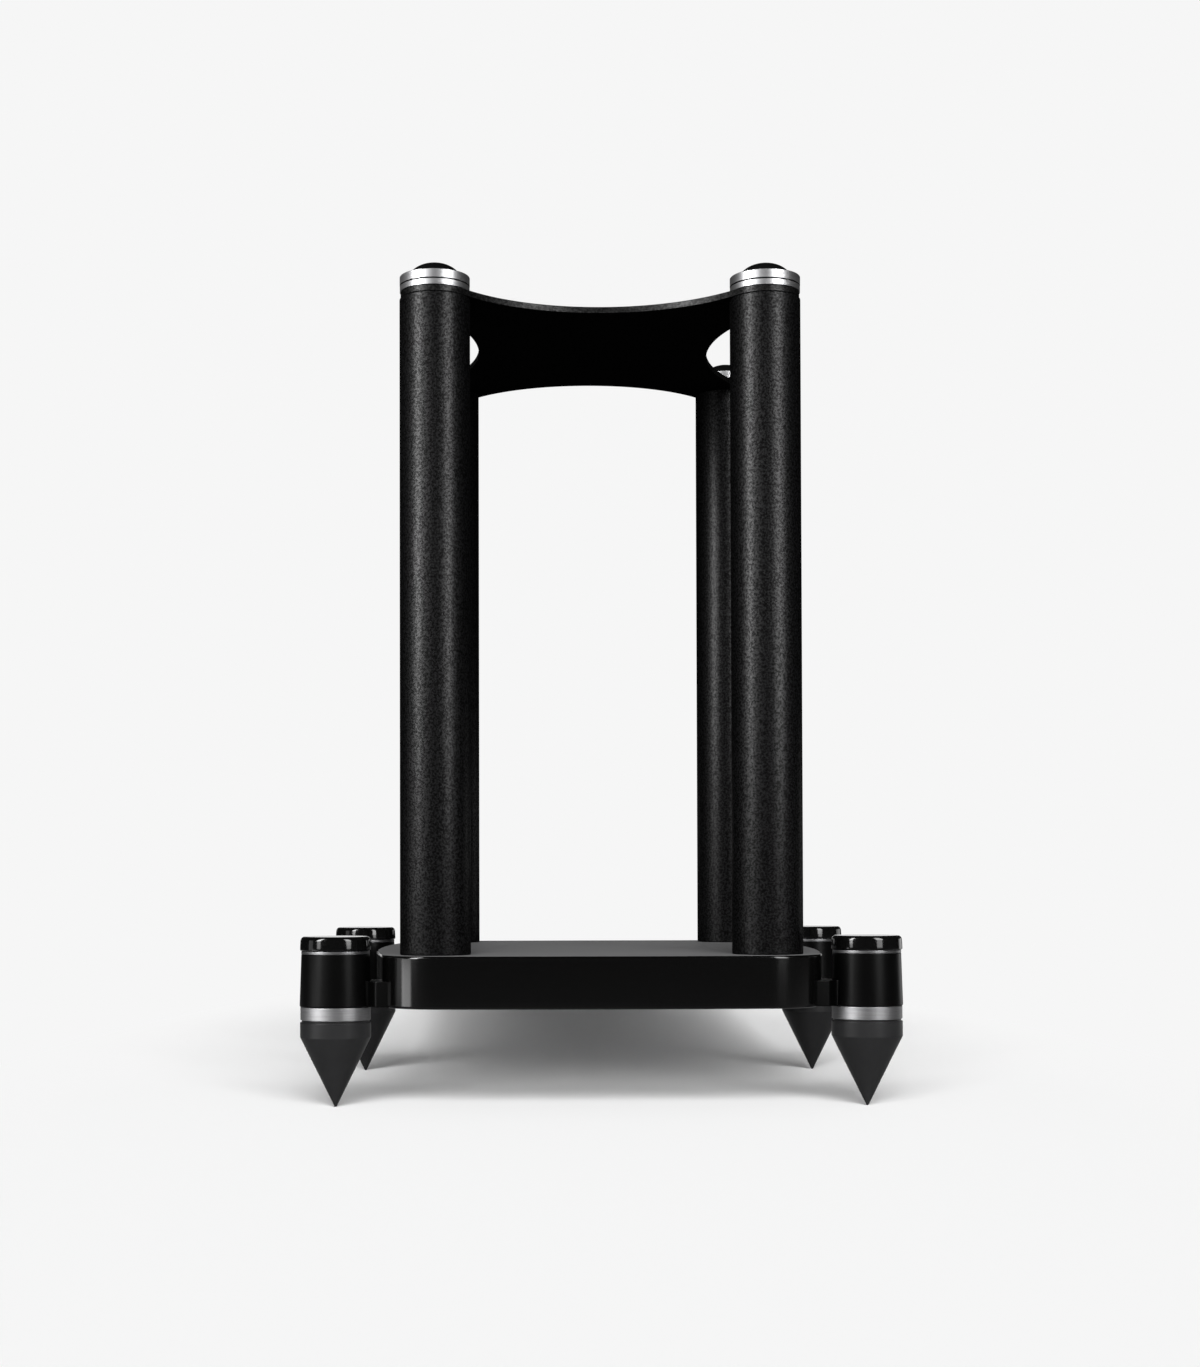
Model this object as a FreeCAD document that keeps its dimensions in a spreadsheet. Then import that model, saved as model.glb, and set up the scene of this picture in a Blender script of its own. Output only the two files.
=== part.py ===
import FreeCAD, Part
import math
import os
import Sketcher

# Speaker stand: four round pillars carry a thin top plate with a rubber dome over each
# pillar.  They are bolted to a thick base slab, and an arm at each corner of the slab
# holds a foot with a threaded spike below and a lock knob above.
# Origin: middle of the stand at the floor.  +Z is up and -Y is the front.

os.makedirs("parts", exist_ok=True)
doc = FreeCAD.newDocument("SpeakerStand")

# ---------------------------------------------------------------- driving dimensions, mm
DRIVING_SIZES = (
    ("pillar_side_inset", 44.4, "pillar centres, inside the slab's width"),
    ("pillar_front_inset", 35.7, "pillar centres, inside the slab's depth"),
    ("pillar_diameter", 45.0, "outside of the tube"),
    ("pillar_wall", 2.0, "wall of the tube"),
    ("pillar_length", 417.9, "tube between slab and top plate"),
    ("pillar_edge_chamfer", 0.8, "chamfer at both ends of the tube"),
    ("plug_clearance", 0.05, "radial clearance of a plug in its tube"),
    ("base_plug_height", 30.0, "plug in the foot of the tube"),
    ("head_plug_height", 25.0, "plug in the head of the tube"),
    ("slab_thickness", 33.0, "base slab"),
    ("slab_width", 300.0, "base slab at its middle, left to right"),
    ("slab_depth", 334.0, "base slab at its middle, front to rear"),
    ("slab_side_bow", 880.0, "radius of the left and right edges"),
    ("slab_front_bow", 2200.0, "radius of the front and rear edges"),
    ("slab_corner_radius", 40.0, "radius of the slab's corners in plan"),
    ("slab_edge_round", 1.6, "rounding of the slab's long edges"),
    ("plate_thickness", 4.3, "top plate"),
    ("plate_lobe_radius", 21.8, "lobe of the plate round each pillar"),
    ("plate_front_inset", 31.2, "front edge's middle, inside the line of pillars"),
    ("plate_side_inset", 25.3, "side edge's middle, inside the line of pillars"),
    ("plate_edge_chamfer", 0.4, "chamfer round the plate"),
    ("clamp_ring_diameter", 44.6, "lower silver ring"),
    ("clamp_ring_thickness", 4.3, "lower silver ring"),
    ("cup_diameter", 44.8, "upper silver cup"),
    ("cup_thickness", 5.4, "upper silver cup"),
    ("cup_floor", 2.6, "floor of the cup under the rubber"),
    ("turned_edge_chamfer", 0.35, "chamfer on the silver rings"),
    ("dome_base_diameter", 35.0, "rubber dome where it enters the cup"),
    ("dome_side_clearance", 0.2, "between dome and cup"),
    ("dome_sphere_radius", 21.4, "crown of the rubber dome"),
    ("dome_rise", 9.05, "crown above the cup's rim"),
    ("dome_screw_clearance", 0.6, "between dome and screw head"),
    ("screw_diameter", 8.0, "top screws and base bolts"),
    ("screw_hole_clearance", 0.4, "diametral clearance of their passing holes"),
    ("thread_clearance", 0.05, "radial clearance of every threaded fit"),
    ("thread_runout", 2.0, "depth of a tapped hole past the screw's end"),
    ("top_screw_length", 25.0, "below the head"),
    ("top_screw_head_diameter", 13.0, "low head"),
    ("top_screw_head_height", 5.0, "low head"),
    ("top_screw_key", 5.0, "across the flats of its hexagon socket"),
    ("base_bolt_length", 45.0, "below the head"),
    ("base_bolt_head_diameter", 13.0, "cap head"),
    ("base_bolt_head_height", 8.0, "cap head"),
    ("base_bolt_key", 6.0, "across the flats of its hexagon socket"),
    ("bolt_washer_diameter", 16.0, "washer under the bolt's head"),
    ("bolt_washer_thickness", 1.6, "washer under the bolt's head"),
    ("bolt_recess_diameter", 17.0, "recess in the arm for head and washer"),
    ("bolt_recess_depth", 10.2, "recess in the arm for head and washer"),
    ("foot_side_offset", 19.4, "foot centres, outside the slab's width"),
    ("foot_front_inset", 40.2, "foot centres, inside the slab's depth"),
    ("foot_body_height", 33.2, "tapered housing"),
    ("foot_body_top_diameter", 43.4, "tapered housing"),
    ("foot_body_base_diameter", 45.5, "tapered housing"),
    ("foot_edge_round", 0.5, "rounding of the housing's two edges"),
    ("arm_thickness", 16.2, "arm between housing and slab"),
    ("arm_width", 36.0, "arm between housing and slab"),
    ("arm_end_reach", 66.0, "foot centre to the centre of the arm's round end"),
    ("arm_inset", 0.3, "arm's underside above the slab's underside"),
    ("arm_side_clearance", 0.3, "between arm and its pocket in the slab"),
    ("arm_screw_reach", 41.0, "foot centre to the arm screws"),
    ("arm_screw_spread", 20.0, "between the two arm screws"),
    ("arm_screw_diameter", 6.0, "arm screws"),
    ("arm_screw_length", 20.0, "below the head"),
    ("arm_screw_head_diameter", 10.0, "cap head"),
    ("arm_screw_head_height", 6.0, "cap head"),
    ("arm_screw_key", 5.0, "across the flats of its hexagon socket"),
    ("arm_screw_recess_diameter", 11.0, "recess in the arm"),
    ("arm_screw_recess_depth", 6.5, "recess in the arm"),
    ("slab_insert_diameter", 10.0, "threaded insert in the slab"),
    ("slab_insert_length", 12.0, "threaded insert in the slab"),
    ("bush_diameter", 16.0, "threaded bush in the housing"),
    ("bush_length", 30.0, "threaded bush with its collar"),
    ("bush_collar_diameter", 20.0, "collar at the bush's lower end"),
    ("bush_collar_height", 2.0, "collar at the bush's lower end"),
    ("foot_washer_thickness", 1.9, "grey washer under the knob"),
    ("running_gap", 0.3, "between faces that part when a foot is set"),
    ("knob_diameter", 44.9, "lock knob"),
    ("knob_height", 8.9, "lock knob"),
    ("knob_top_round", 2.6, "rounding of the knob's upper edge"),
    ("knob_base_round", 1.2, "rounding of the knob's lower edge"),
    ("knob_insert_diameter", 18.0, "threaded insert in the knob"),
    ("knob_insert_height", 7.0, "threaded insert in the knob"),
    ("stud_diameter", 10.0, "threaded stud through the foot"),
    ("stud_chamfer", 0.8, "both ends of the stud"),
    ("stud_depth_in_spike", 31.0, "stud below the spike ring's top"),
    ("stud_end_below_insert", 0.5, "stud's upper end below the insert's top"),
    ("stud_hole_clearance", 0.3, "radial clearance of the stud's passing holes"),
    ("spike_diameter", 45.0, "barrel of the spike"),
    ("spike_tip_diameter", 1.2, "blunted point"),
    ("spike_cone_height", 44.5, "cone of the spike"),
    ("spike_barrel_height", 9.5, "barrel above the cone"),
    ("spike_neck_diameter", 42.8, "dark groove under the silver ring"),
    ("spike_neck_height", 1.4, "dark groove under the silver ring"),
    ("spike_spigot_diameter", 20.0, "spigot that centres the silver ring"),
    ("spike_ring_diameter", 44.6, "silver ring"),
    ("spike_ring_height", 8.3, "silver ring"),
)

# Sizes worked out from the driving ones: places, levels above the floor, radii and depths.
DERIVED_SIZES = (
    ("half_pillar_width", "slab_width / 2 - pillar_side_inset"),
    ("half_pillar_depth", "slab_depth / 2 - pillar_front_inset"),
    ("half_foot_width", "slab_width / 2 + foot_side_offset"),
    ("half_foot_depth", "slab_depth / 2 - foot_front_inset"),
    ("spike_neck_base", "spike_cone_height + spike_barrel_height"),
    ("spike_ring_base", "spike_neck_base + spike_neck_height"),
    ("spike_ring_top", "spike_ring_base + spike_ring_height"),
    ("foot_underside", "spike_ring_top + running_gap"),
    ("foot_body_top", "foot_underside + foot_body_height"),
    ("foot_washer_top", "foot_body_top + foot_washer_thickness"),
    ("knob_underside", "foot_washer_top + running_gap"),
    ("knob_insert_top", "knob_underside + knob_insert_height"),
    ("slab_underside", "foot_underside - arm_inset"),
    ("slab_top", "slab_underside + slab_thickness"),
    ("plate_underside", "slab_top + pillar_length"),
    ("plate_top", "plate_underside + plate_thickness"),
    ("clamp_ring_top", "plate_top + clamp_ring_thickness"),
    ("dome_underside", "clamp_ring_top + cup_floor"),
    ("dome_top", "clamp_ring_top + cup_thickness + dome_rise"),
    ("screw_radius", "screw_diameter / 2"),
    ("screw_hole_radius", "(screw_diameter + screw_hole_clearance) / 2"),
    ("tapped_hole_radius", "screw_radius + thread_clearance"),
    # pillar and its plugs
    ("pillar_radius", "pillar_diameter / 2"),
    ("pillar_bore_radius", "pillar_radius - pillar_wall"),
    ("plug_radius", "pillar_bore_radius - plug_clearance"),
    ("base_bolt_seat", "foot_underside + bolt_recess_depth - bolt_washer_thickness"),
    ("base_bolt_end", "base_bolt_seat + base_bolt_length"),
    ("base_plug_hole_depth", "base_bolt_end - slab_top + thread_runout"),
    ("head_plug_base", "plate_underside - head_plug_height"),
    ("top_screw_end", "dome_underside - top_screw_length"),
    ("head_plug_hole_base", "top_screw_end - thread_runout - head_plug_base"),
    # outline of the slab: centres of its bowed edges
    ("slab_side_centre", "slab_side_bow - slab_width / 2"),
    ("slab_front_centre", "slab_front_bow - slab_depth / 2"),
    # outline of the plate: bays tangent to the lobes
    ("plate_front_bay", "(half_pillar_width ^ 2 + plate_front_inset ^ 2 - plate_lobe_radius ^ 2)"
                        " / (2 * (plate_lobe_radius + plate_front_inset))"),
    ("plate_side_bay", "(half_pillar_depth ^ 2 + plate_side_inset ^ 2 - plate_lobe_radius ^ 2)"
                       " / (2 * (plate_lobe_radius + plate_side_inset))"),
    ("plate_front_bay_centre", "half_pillar_depth - plate_front_inset + plate_front_bay"),
    ("plate_side_bay_centre", "half_pillar_width - plate_side_inset + plate_side_bay"),
    # rings, cup and dome
    ("clamp_ring_radius", "clamp_ring_diameter / 2"),
    ("cup_radius", "cup_diameter / 2"),
    ("dome_base_radius", "dome_base_diameter / 2"),
    ("cup_recess_radius", "dome_base_radius + dome_side_clearance"),
    ("dome_sphere_centre", "dome_top - dome_sphere_radius"),
    ("dome_height", "dome_top - dome_underside"),
    ("dome_pocket_radius", "top_screw_head_diameter / 2 + dome_screw_clearance"),
    ("dome_pocket_height", "top_screw_head_height + dome_screw_clearance"),
    # foot
    ("foot_body_top_radius", "foot_body_top_diameter / 2"),
    ("foot_body_base_radius", "foot_body_base_diameter / 2"),
    ("arm_half_width", "arm_width / 2"),
    ("arm_pocket_half_width", "arm_half_width + arm_side_clearance"),
    ("arm_pocket_near", "half_foot_depth - arm_pocket_half_width"),
    ("arm_pocket_far", "half_foot_depth + arm_pocket_half_width"),
    ("arm_pocket_end", "half_foot_width - arm_end_reach"),
    ("arm_pocket_depth", "arm_inset + arm_thickness"),
    ("bolt_reach", "half_foot_width - half_pillar_width"),
    ("bolt_offset", "half_pillar_depth - half_foot_depth"),
    ("bolt_recess_radius", "bolt_recess_diameter / 2"),
    ("arm_screw_offset", "arm_screw_spread / 2"),
    ("arm_screw_hole_radius", "(arm_screw_diameter + screw_hole_clearance) / 2"),
    ("arm_screw_recess_radius", "arm_screw_recess_diameter / 2"),
    ("arm_screw_seat", "foot_underside + arm_screw_recess_depth"),
    ("slab_insert_x", "half_foot_width - arm_screw_reach"),
    ("slab_insert_near", "half_foot_depth - arm_screw_offset"),
    ("slab_insert_far", "half_foot_depth + arm_screw_offset"),
    ("slab_insert_base", "slab_underside + arm_pocket_depth"),
    ("slab_insert_hole_radius", "slab_insert_diameter / 2 + thread_clearance"),
    ("slab_insert_hole_depth", "arm_pocket_depth + slab_insert_length + running_gap"),
    # screws: radii, sockets and levels
    ("top_screw_head_radius", "top_screw_head_diameter / 2"),
    ("top_screw_shank_radius", "screw_radius"),
    ("top_screw_socket_radius", "top_screw_key / sqrt(3)"),
    ("top_screw_socket_depth", "top_screw_head_height / 2"),
    ("top_screw_socket_base", "dome_underside + top_screw_head_height - top_screw_socket_depth"),
    ("base_bolt_head_radius", "base_bolt_head_diameter / 2"),
    ("base_bolt_shank_radius", "screw_radius"),
    ("base_bolt_socket_radius", "base_bolt_key / sqrt(3)"),
    ("base_bolt_socket_depth", "base_bolt_head_height / 2"),
    ("base_bolt_head_base", "base_bolt_seat - base_bolt_head_height"),
    ("bolt_washer_radius", "bolt_washer_diameter / 2"),
    ("arm_screw_head_radius", "arm_screw_head_diameter / 2"),
    ("arm_screw_shank_radius", "arm_screw_diameter / 2"),
    ("arm_screw_socket_radius", "arm_screw_key / sqrt(3)"),
    ("arm_screw_socket_depth", "arm_screw_head_height / 2"),
    ("arm_screw_head_base", "arm_screw_seat - arm_screw_head_height"),
    ("arm_screw_tapped_radius", "arm_screw_shank_radius + thread_clearance"),
    ("slab_insert_radius", "slab_insert_diameter / 2"),
    # stud, bush, knob and spike
    ("stud_radius", "stud_diameter / 2"),
    ("stud_fit_radius", "stud_radius + thread_clearance"),
    ("stud_passing_radius", "stud_radius + stud_hole_clearance"),
    ("bush_radius", "bush_diameter / 2"),
    ("bush_hole_radius", "bush_radius + thread_clearance"),
    ("bush_hole_depth", "bush_length + running_gap"),
    ("bush_collar_radius", "bush_collar_diameter / 2"),
    ("bush_collar_hole_radius", "bush_collar_radius + thread_clearance"),
    ("knob_radius", "knob_diameter / 2"),
    ("knob_insert_radius", "knob_insert_diameter / 2"),
    ("knob_pocket_radius", "knob_insert_radius + thread_clearance"),
    ("knob_pocket_height", "knob_insert_height + running_gap"),
    ("stud_base", "spike_ring_top - stud_depth_in_spike"),
    ("stud_height", "knob_insert_top - stud_end_below_insert - stud_base"),
    ("spike_radius", "spike_diameter / 2"),
    ("spike_tip_radius", "spike_tip_diameter / 2"),
    ("spike_neck_radius", "spike_neck_diameter / 2"),
    ("spike_spigot_radius", "spike_spigot_diameter / 2"),
    ("spike_spigot_top", "spike_ring_top - running_gap"),
    ("spike_bore_base", "stud_base - running_gap"),
    ("spike_ring_radius", "spike_ring_diameter / 2"),
    ("spike_ring_bore_radius", "spike_spigot_radius + thread_clearance"),
)

sheet = doc.addObject("Spreadsheet::Sheet", "Sizes")
for row, (alias, number, meaning) in enumerate(DRIVING_SIZES, start=1):
    sheet.set(f"A{row}", alias)
    sheet.set(f"B{row}", str(number))
    sheet.set(f"C{row}", meaning)
    sheet.setAlias(f"B{row}", alias)
for row, (alias, formula) in enumerate(DERIVED_SIZES, start=1):
    sheet.set(f"E{row}", alias)
    sheet.set(f"F{row}", f"={formula}")
    sheet.setAlias(f"F{row}", alias)
doc.recompute()

CORNERS = {
    "front_left": (-1, -1),
    "front_right": (1, -1),
    "rear_left": (-1, 1),
    "rear_right": (1, 1),
}
AROUND_THE_SLAB = ((1, 1), (-1, 1), (-1, -1), (1, -1))
# A sketch numbers its axes and the points of an edge.
ORIGIN_POINT = (-1, 1)
AXIS_GEOMETRY = {"DistanceX": -2, "DistanceY": -1}
EDGE_POINT = {"start": 1, "end": 2, "centre": 3}
UP = FreeCAD.Vector(0, 0, 1)
HALF_TURN = 180.0
FULL_TURN = 360.0
HEXAGON_SIDES = 6
SAME = 1e-6
nodes = []


def size(alias):
    """Number in the sheet's cell of that name, or zero where no name is given."""
    return 0.0 if alias is None else float(sheet.get(alias))


def cell(alias, side=1):
    """Expression that reads a cell, with the sign of the side it is on."""
    return f"Sizes.{alias}" if side > 0 else f"-Sizes.{alias}"


# ------------------------------------------------------------------- helpers for sketches
def origin_plane(body, role):
    """The body's own origin plane with that role."""
    return next(plane for plane in body.Origin.OriginFeatures if plane.Role == role)


def add_sketch(body, name, role):
    """An empty sketch on one of the body's origin planes."""
    sketch = body.newObject("Sketcher::SketchObject", f"{body.Name}_{name}")
    sketch.AttachmentSupport = (origin_plane(body, role), [""])
    sketch.MapMode = "FlatFace"
    return sketch


def set_distance(sketch, kind, point, alias, side):
    """Ties one coordinate of a sketch point to a cell, or to the axis."""
    if alias is None:
        sketch.addConstraint(Sketcher.Constraint("PointOnObject", *point, AXIS_GEOMETRY[kind]))
        return
    ends = ORIGIN_POINT + point if side > 0 else point + ORIGIN_POINT
    index = sketch.addConstraint(Sketcher.Constraint(kind, *ends, size(alias)))
    sketch.setExpression(f"Constraints[{index}]", cell(alias))


def set_point(sketch, point, x_alias, y_alias, x_side=1, y_side=1):
    """Ties both coordinates of a sketch point to cells."""
    set_distance(sketch, "DistanceX", point, x_alias, x_side)
    set_distance(sketch, "DistanceY", point, y_alias, y_side)


def set_radius(sketch, geometry, alias):
    """Ties the radius of a circle or an arc to a cell."""
    index = sketch.addConstraint(Sketcher.Constraint("Radius", geometry, size(alias)))
    sketch.setExpression(f"Constraints[{index}]", cell(alias))


def add_polygon(sketch, corners):
    """A closed line through corners given as (x cell, y cell[, x side, y side])."""
    spots = [corner + (1, 1) if len(corner) == 2 else corner for corner in corners]
    points = [FreeCAD.Vector(size(x) * sx, size(y) * sy, 0) for x, y, sx, sy in spots]
    lines = [sketch.addGeometry(Part.LineSegment(start, end), False)
             for start, end in zip(points, points[1:] + points[:1])]
    for line, following in zip(lines, lines[1:] + lines[:1]):
        sketch.addConstraint(Sketcher.Constraint(
            "Coincident", line, EDGE_POINT["end"], following, EDGE_POINT["start"]))
    for line, spot in zip(lines, spots):
        set_point(sketch, (line, EDGE_POINT["start"]), *spot)


def add_circle(sketch, radius, x_alias=None, y_alias=None, x_side=1, y_side=1):
    """A circle whose radius and centre are tied to cells."""
    centre = FreeCAD.Vector(size(x_alias) * x_side, size(y_alias) * y_side, 0)
    circle = sketch.addGeometry(Part.Circle(centre, UP, size(radius)), False)
    set_point(sketch, (circle, EDGE_POINT["centre"]), x_alias, y_alias, x_side, y_side)
    set_radius(sketch, circle, radius)


def touching_point(first, second):
    """Point where two tangent circles (centre, radius, turn) meet."""
    centre, radius, turn = first
    other_centre, other_radius, other_turn = second
    towards = (other_centre - centre).normalize()
    inside_other = turn == other_turn and radius < other_radius
    return centre - towards * radius if inside_other else centre + towards * radius


def add_tangent_loop(sketch, circles):
    """A closed line of tangent arcs round circles given as (centre, radius, turn).

    A turn of 1 is an arc that bulges outwards and -1 one that curves inwards.  The arcs
    are joined tangentially; the caller ties centres and radii to cells.
    """
    joints = [touching_point(circle, following)
              for circle, following in zip(circles, circles[1:] + circles[:1])]
    arcs = []
    for (centre, radius, turn), start, end in zip(circles, joints[-1:] + joints[:-1], joints):
        first, last = (start, end) if turn > 0 else (end, start)
        angles = [math.atan2(point.y - centre.y, point.x - centre.x) for point in (first, last)]
        circle = Part.Circle(centre, UP, radius)
        arcs.append(sketch.addGeometry(Part.ArcOfCircle(circle, *angles), False))
    # An arc that curves inwards is drawn from its far end.
    firsts = [EDGE_POINT["start" if turn > 0 else "end"] for centre, radius, turn in circles]
    lasts = [EDGE_POINT["end" if turn > 0 else "start"] for centre, radius, turn in circles]
    for arc, last, following, first in zip(
            arcs, lasts, arcs[1:] + arcs[:1], firsts[1:] + firsts[:1]):
        sketch.addConstraint(Sketcher.Constraint("Tangent", arc, last, following, first))
    return arcs


# ------------------------------------------------------------- helpers for solid features
def add_body(label):
    """A new body whose label names its node."""
    body = doc.addObject("PartDesign::Body", label)
    body.Label = label
    return body


def place(item, x_alias=None, y_alias=None, z_alias=None, x_side=1, y_side=1):
    """Ties the place of an object to cells."""
    for letter, alias, side in (("x", x_alias, x_side), ("y", y_alias, y_side), ("z", z_alias, 1)):
        if alias is not None:
            item.setExpression(f".Placement.Base.{letter}", cell(alias, side))


def keep(item):
    """Counts an object as a finished sub-part."""
    nodes.append(item)
    return item


def revolve(body, name, corners):
    """A solid of revolution about the body's Z axis, from its half section."""
    sketch = add_sketch(body, f"{name}_section", "XZ_Plane")
    add_polygon(sketch, corners)
    feature = body.newObject("PartDesign::Revolution", f"{body.Name}_{name}")
    feature.Profile = sketch
    feature.ReferenceAxis = (sketch, ["V_Axis"])
    feature.Angle = FULL_TURN
    doc.recompute()
    return feature


def pad(body, sketch, name, height):
    """A pad upwards from the body's base plane."""
    feature = body.newObject("PartDesign::Pad", f"{body.Name}_{name}")
    feature.Profile = sketch
    feature.setExpression("Length", cell(height))
    doc.recompute()
    return feature


def pocket(body, sketch, name, depth):
    """A pocket upwards from the body's base plane, which has to take material away."""
    volume_before = body.Shape.Volume
    feature = body.newObject("PartDesign::Pocket", f"{body.Name}_{name}")
    feature.Profile = sketch
    feature.Reversed = True
    feature.setExpression("Length", cell(depth))
    doc.recompute()
    if body.Shape.Volume > volume_before - SAME:
        raise RuntimeError(f"{feature.Name} cuts nothing")
    return feature


def round_hole(body, name, radius, depth, *spots):
    """Round holes upwards from the base plane, one at each spot."""
    sketch = add_sketch(body, f"{name}_sketch", "XY_Plane")
    for spot in spots:
        add_circle(sketch, radius, *spot)
    return pocket(body, sketch, name, depth)


def edges_at(shape, level, radius=None):
    """Names of the edges that lie flat at a level, and have a radius if one is given."""
    found = []
    for number, edge in enumerate(shape.Edges, start=1):
        flat = abs(edge.BoundBox.ZMin - level) < SAME and abs(edge.BoundBox.ZMax - level) < SAME
        curve_radius = getattr(edge.Curve, "Radius", None)
        fits = radius is None or (curve_radius is not None and abs(curve_radius - radius) < SAME)
        if flat and fits:
            found.append(f"Edge{number}")
    return found


def dress(body, kind, name, amount, edges):
    """A fillet or a chamfer on edges of the body's last feature."""
    base = body.Tip
    feature = body.newObject(f"PartDesign::{kind}", f"{body.Name}_{name}")
    feature.Base = (base, edges)
    feature.setExpression("Radius" if kind == "Fillet" else "Size", cell(amount))
    body.Tip = feature
    doc.recompute()
    return feature


def cylinder(name, radius, height, **spot):
    """A cylinder tied to cells."""
    item = doc.addObject("Part::Cylinder", name)
    item.setExpression("Radius", cell(radius))
    item.setExpression("Height", cell(height))
    place(item, **spot)
    return item


def cut(name, base, tool):
    """One object less another."""
    item = doc.addObject("Part::Cut", name)
    item.Base = base
    item.Tool = tool
    return item


def group(label, pieces):
    """Several separate solids in one node."""
    item = doc.addObject("Part::Compound", label)
    item.Label = label
    item.Links = pieces
    return keep(item)


# -------------------------------------------------------------------------- base slab
def slab_outline(sketch):
    """Four bowed edges joined by four corner arcs, all tangent."""
    corner = size("slab_corner_radius")
    side_reach = size("slab_side_bow") - corner
    front_reach = size("slab_front_bow") - corner
    side_x = -size("slab_side_centre")
    front_y = -size("slab_front_centre")
    # A corner's centre lies side_reach from (side_x, 0) and front_reach from (0, front_y).
    spacing = math.hypot(side_x, front_y)
    along = (side_reach ** 2 - front_reach ** 2 + spacing ** 2) / (2 * spacing)
    across = math.sqrt(side_reach ** 2 - along ** 2)
    unit_x, unit_y = -side_x / spacing, front_y / spacing
    corner_x = side_x + unit_x * along - unit_y * across
    corner_y = unit_y * along + unit_x * across
    circles = []
    for place_in_loop, (sx, sy) in enumerate(AROUND_THE_SLAB):
        if place_in_loop % 2 == 0:
            circles.append((FreeCAD.Vector(side_x * sx, 0, 0), size("slab_side_bow"), 1))
        else:
            circles.append((FreeCAD.Vector(0, front_y * sy, 0), size("slab_front_bow"), 1))
        circles.append((FreeCAD.Vector(corner_x * sx, corner_y * sy, 0), corner, 1))
    arcs = add_tangent_loop(sketch, circles)
    for place_in_loop, (bow, (sx, sy)) in enumerate(zip(arcs[::2], AROUND_THE_SLAB)):
        centre = (bow, EDGE_POINT["centre"])
        if place_in_loop % 2 == 0:
            set_point(sketch, centre, "slab_side_centre", None, x_side=-sx)
            set_radius(sketch, bow, "slab_side_bow")
        else:
            set_point(sketch, centre, None, "slab_front_centre", y_side=-sy)
            set_radius(sketch, bow, "slab_front_bow")
    for corner_arc in arcs[1::2]:
        set_radius(sketch, corner_arc, "slab_corner_radius")


def make_base_slab():
    """Slab with a pocket for each arm, bolt holes and holes for the threaded inserts."""
    body = add_body("base_slab")
    outline = add_sketch(body, "outline", "XY_Plane")
    slab_outline(outline)
    solid = pad(body, outline, "pad", "slab_thickness")
    rims = edges_at(solid.Shape, 0.0) + edges_at(solid.Shape, size("slab_thickness"))
    dress(body, "Fillet", "edge_round", "slab_edge_round", rims)
    bars = add_sketch(body, "arm_pockets_sketch", "XY_Plane")
    for sx, sy in CORNERS.values():
        add_polygon(bars, [
            ("arm_pocket_end", "arm_pocket_near", sx, sy),
            ("half_foot_width", "arm_pocket_near", sx, sy),
            ("half_foot_width", "arm_pocket_far", sx, sy),
            ("arm_pocket_end", "arm_pocket_far", sx, sy),
        ])
    pocket(body, bars, "arm_pockets", "arm_pocket_depth")
    corners = list(CORNERS.values())
    round_hole(body, "arm_pocket_ends", "arm_pocket_half_width", "arm_pocket_depth",
               *[("arm_pocket_end", "half_foot_depth", sx, sy) for sx, sy in corners])
    round_hole(body, "bolt_holes", "screw_hole_radius", "slab_thickness",
               *[("half_pillar_width", "half_pillar_depth", sx, sy) for sx, sy in corners])
    round_hole(body, "insert_holes", "slab_insert_hole_radius", "slab_insert_hole_depth",
               *[("slab_insert_x", row, sx, sy) for sx, sy in corners
                 for row in ("slab_insert_near", "slab_insert_far")])
    place(body, z_alias="slab_underside")
    return keep(body)


# ---------------------------------------------------------------- pillars and their plugs
def make_pillar(corner, sx, sy):
    """Tube with a chamfer at each end and a threaded plug in each end."""
    spot = {"x_alias": "half_pillar_width", "y_alias": "half_pillar_depth", "x_side": sx, "y_side": sy}
    tube = add_body(f"pillar_tube_{corner}")
    solid = revolve(tube, "wall", [
        ("pillar_bore_radius", None),
        ("pillar_radius", None),
        ("pillar_radius", "pillar_length"),
        ("pillar_bore_radius", "pillar_length"),
    ])
    rims = [edge for level in (0.0, size("pillar_length"))
            for edge in edges_at(solid.Shape, level, size("pillar_radius"))]
    dress(tube, "Chamfer", "end_chamfer", "pillar_edge_chamfer", rims)
    place(tube, z_alias="slab_top", **spot)
    keep(tube)

    base_plug = add_body(f"pillar_base_plug_{corner}")
    revolve(base_plug, "section", [
        ("tapped_hole_radius", None),
        ("plug_radius", None),
        ("plug_radius", "base_plug_height"),
        (None, "base_plug_height"),
        (None, "base_plug_hole_depth"),
        ("tapped_hole_radius", "base_plug_hole_depth"),
    ])
    place(base_plug, z_alias="slab_top", **spot)
    keep(base_plug)

    head_plug = add_body(f"pillar_head_plug_{corner}")
    revolve(head_plug, "section", [
        (None, None),
        ("plug_radius", None),
        ("plug_radius", "head_plug_height"),
        ("tapped_hole_radius", "head_plug_height"),
        ("tapped_hole_radius", "head_plug_hole_base"),
        (None, "head_plug_hole_base"),
    ])
    place(head_plug, z_alias="head_plug_base", **spot)
    keep(head_plug)


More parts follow.
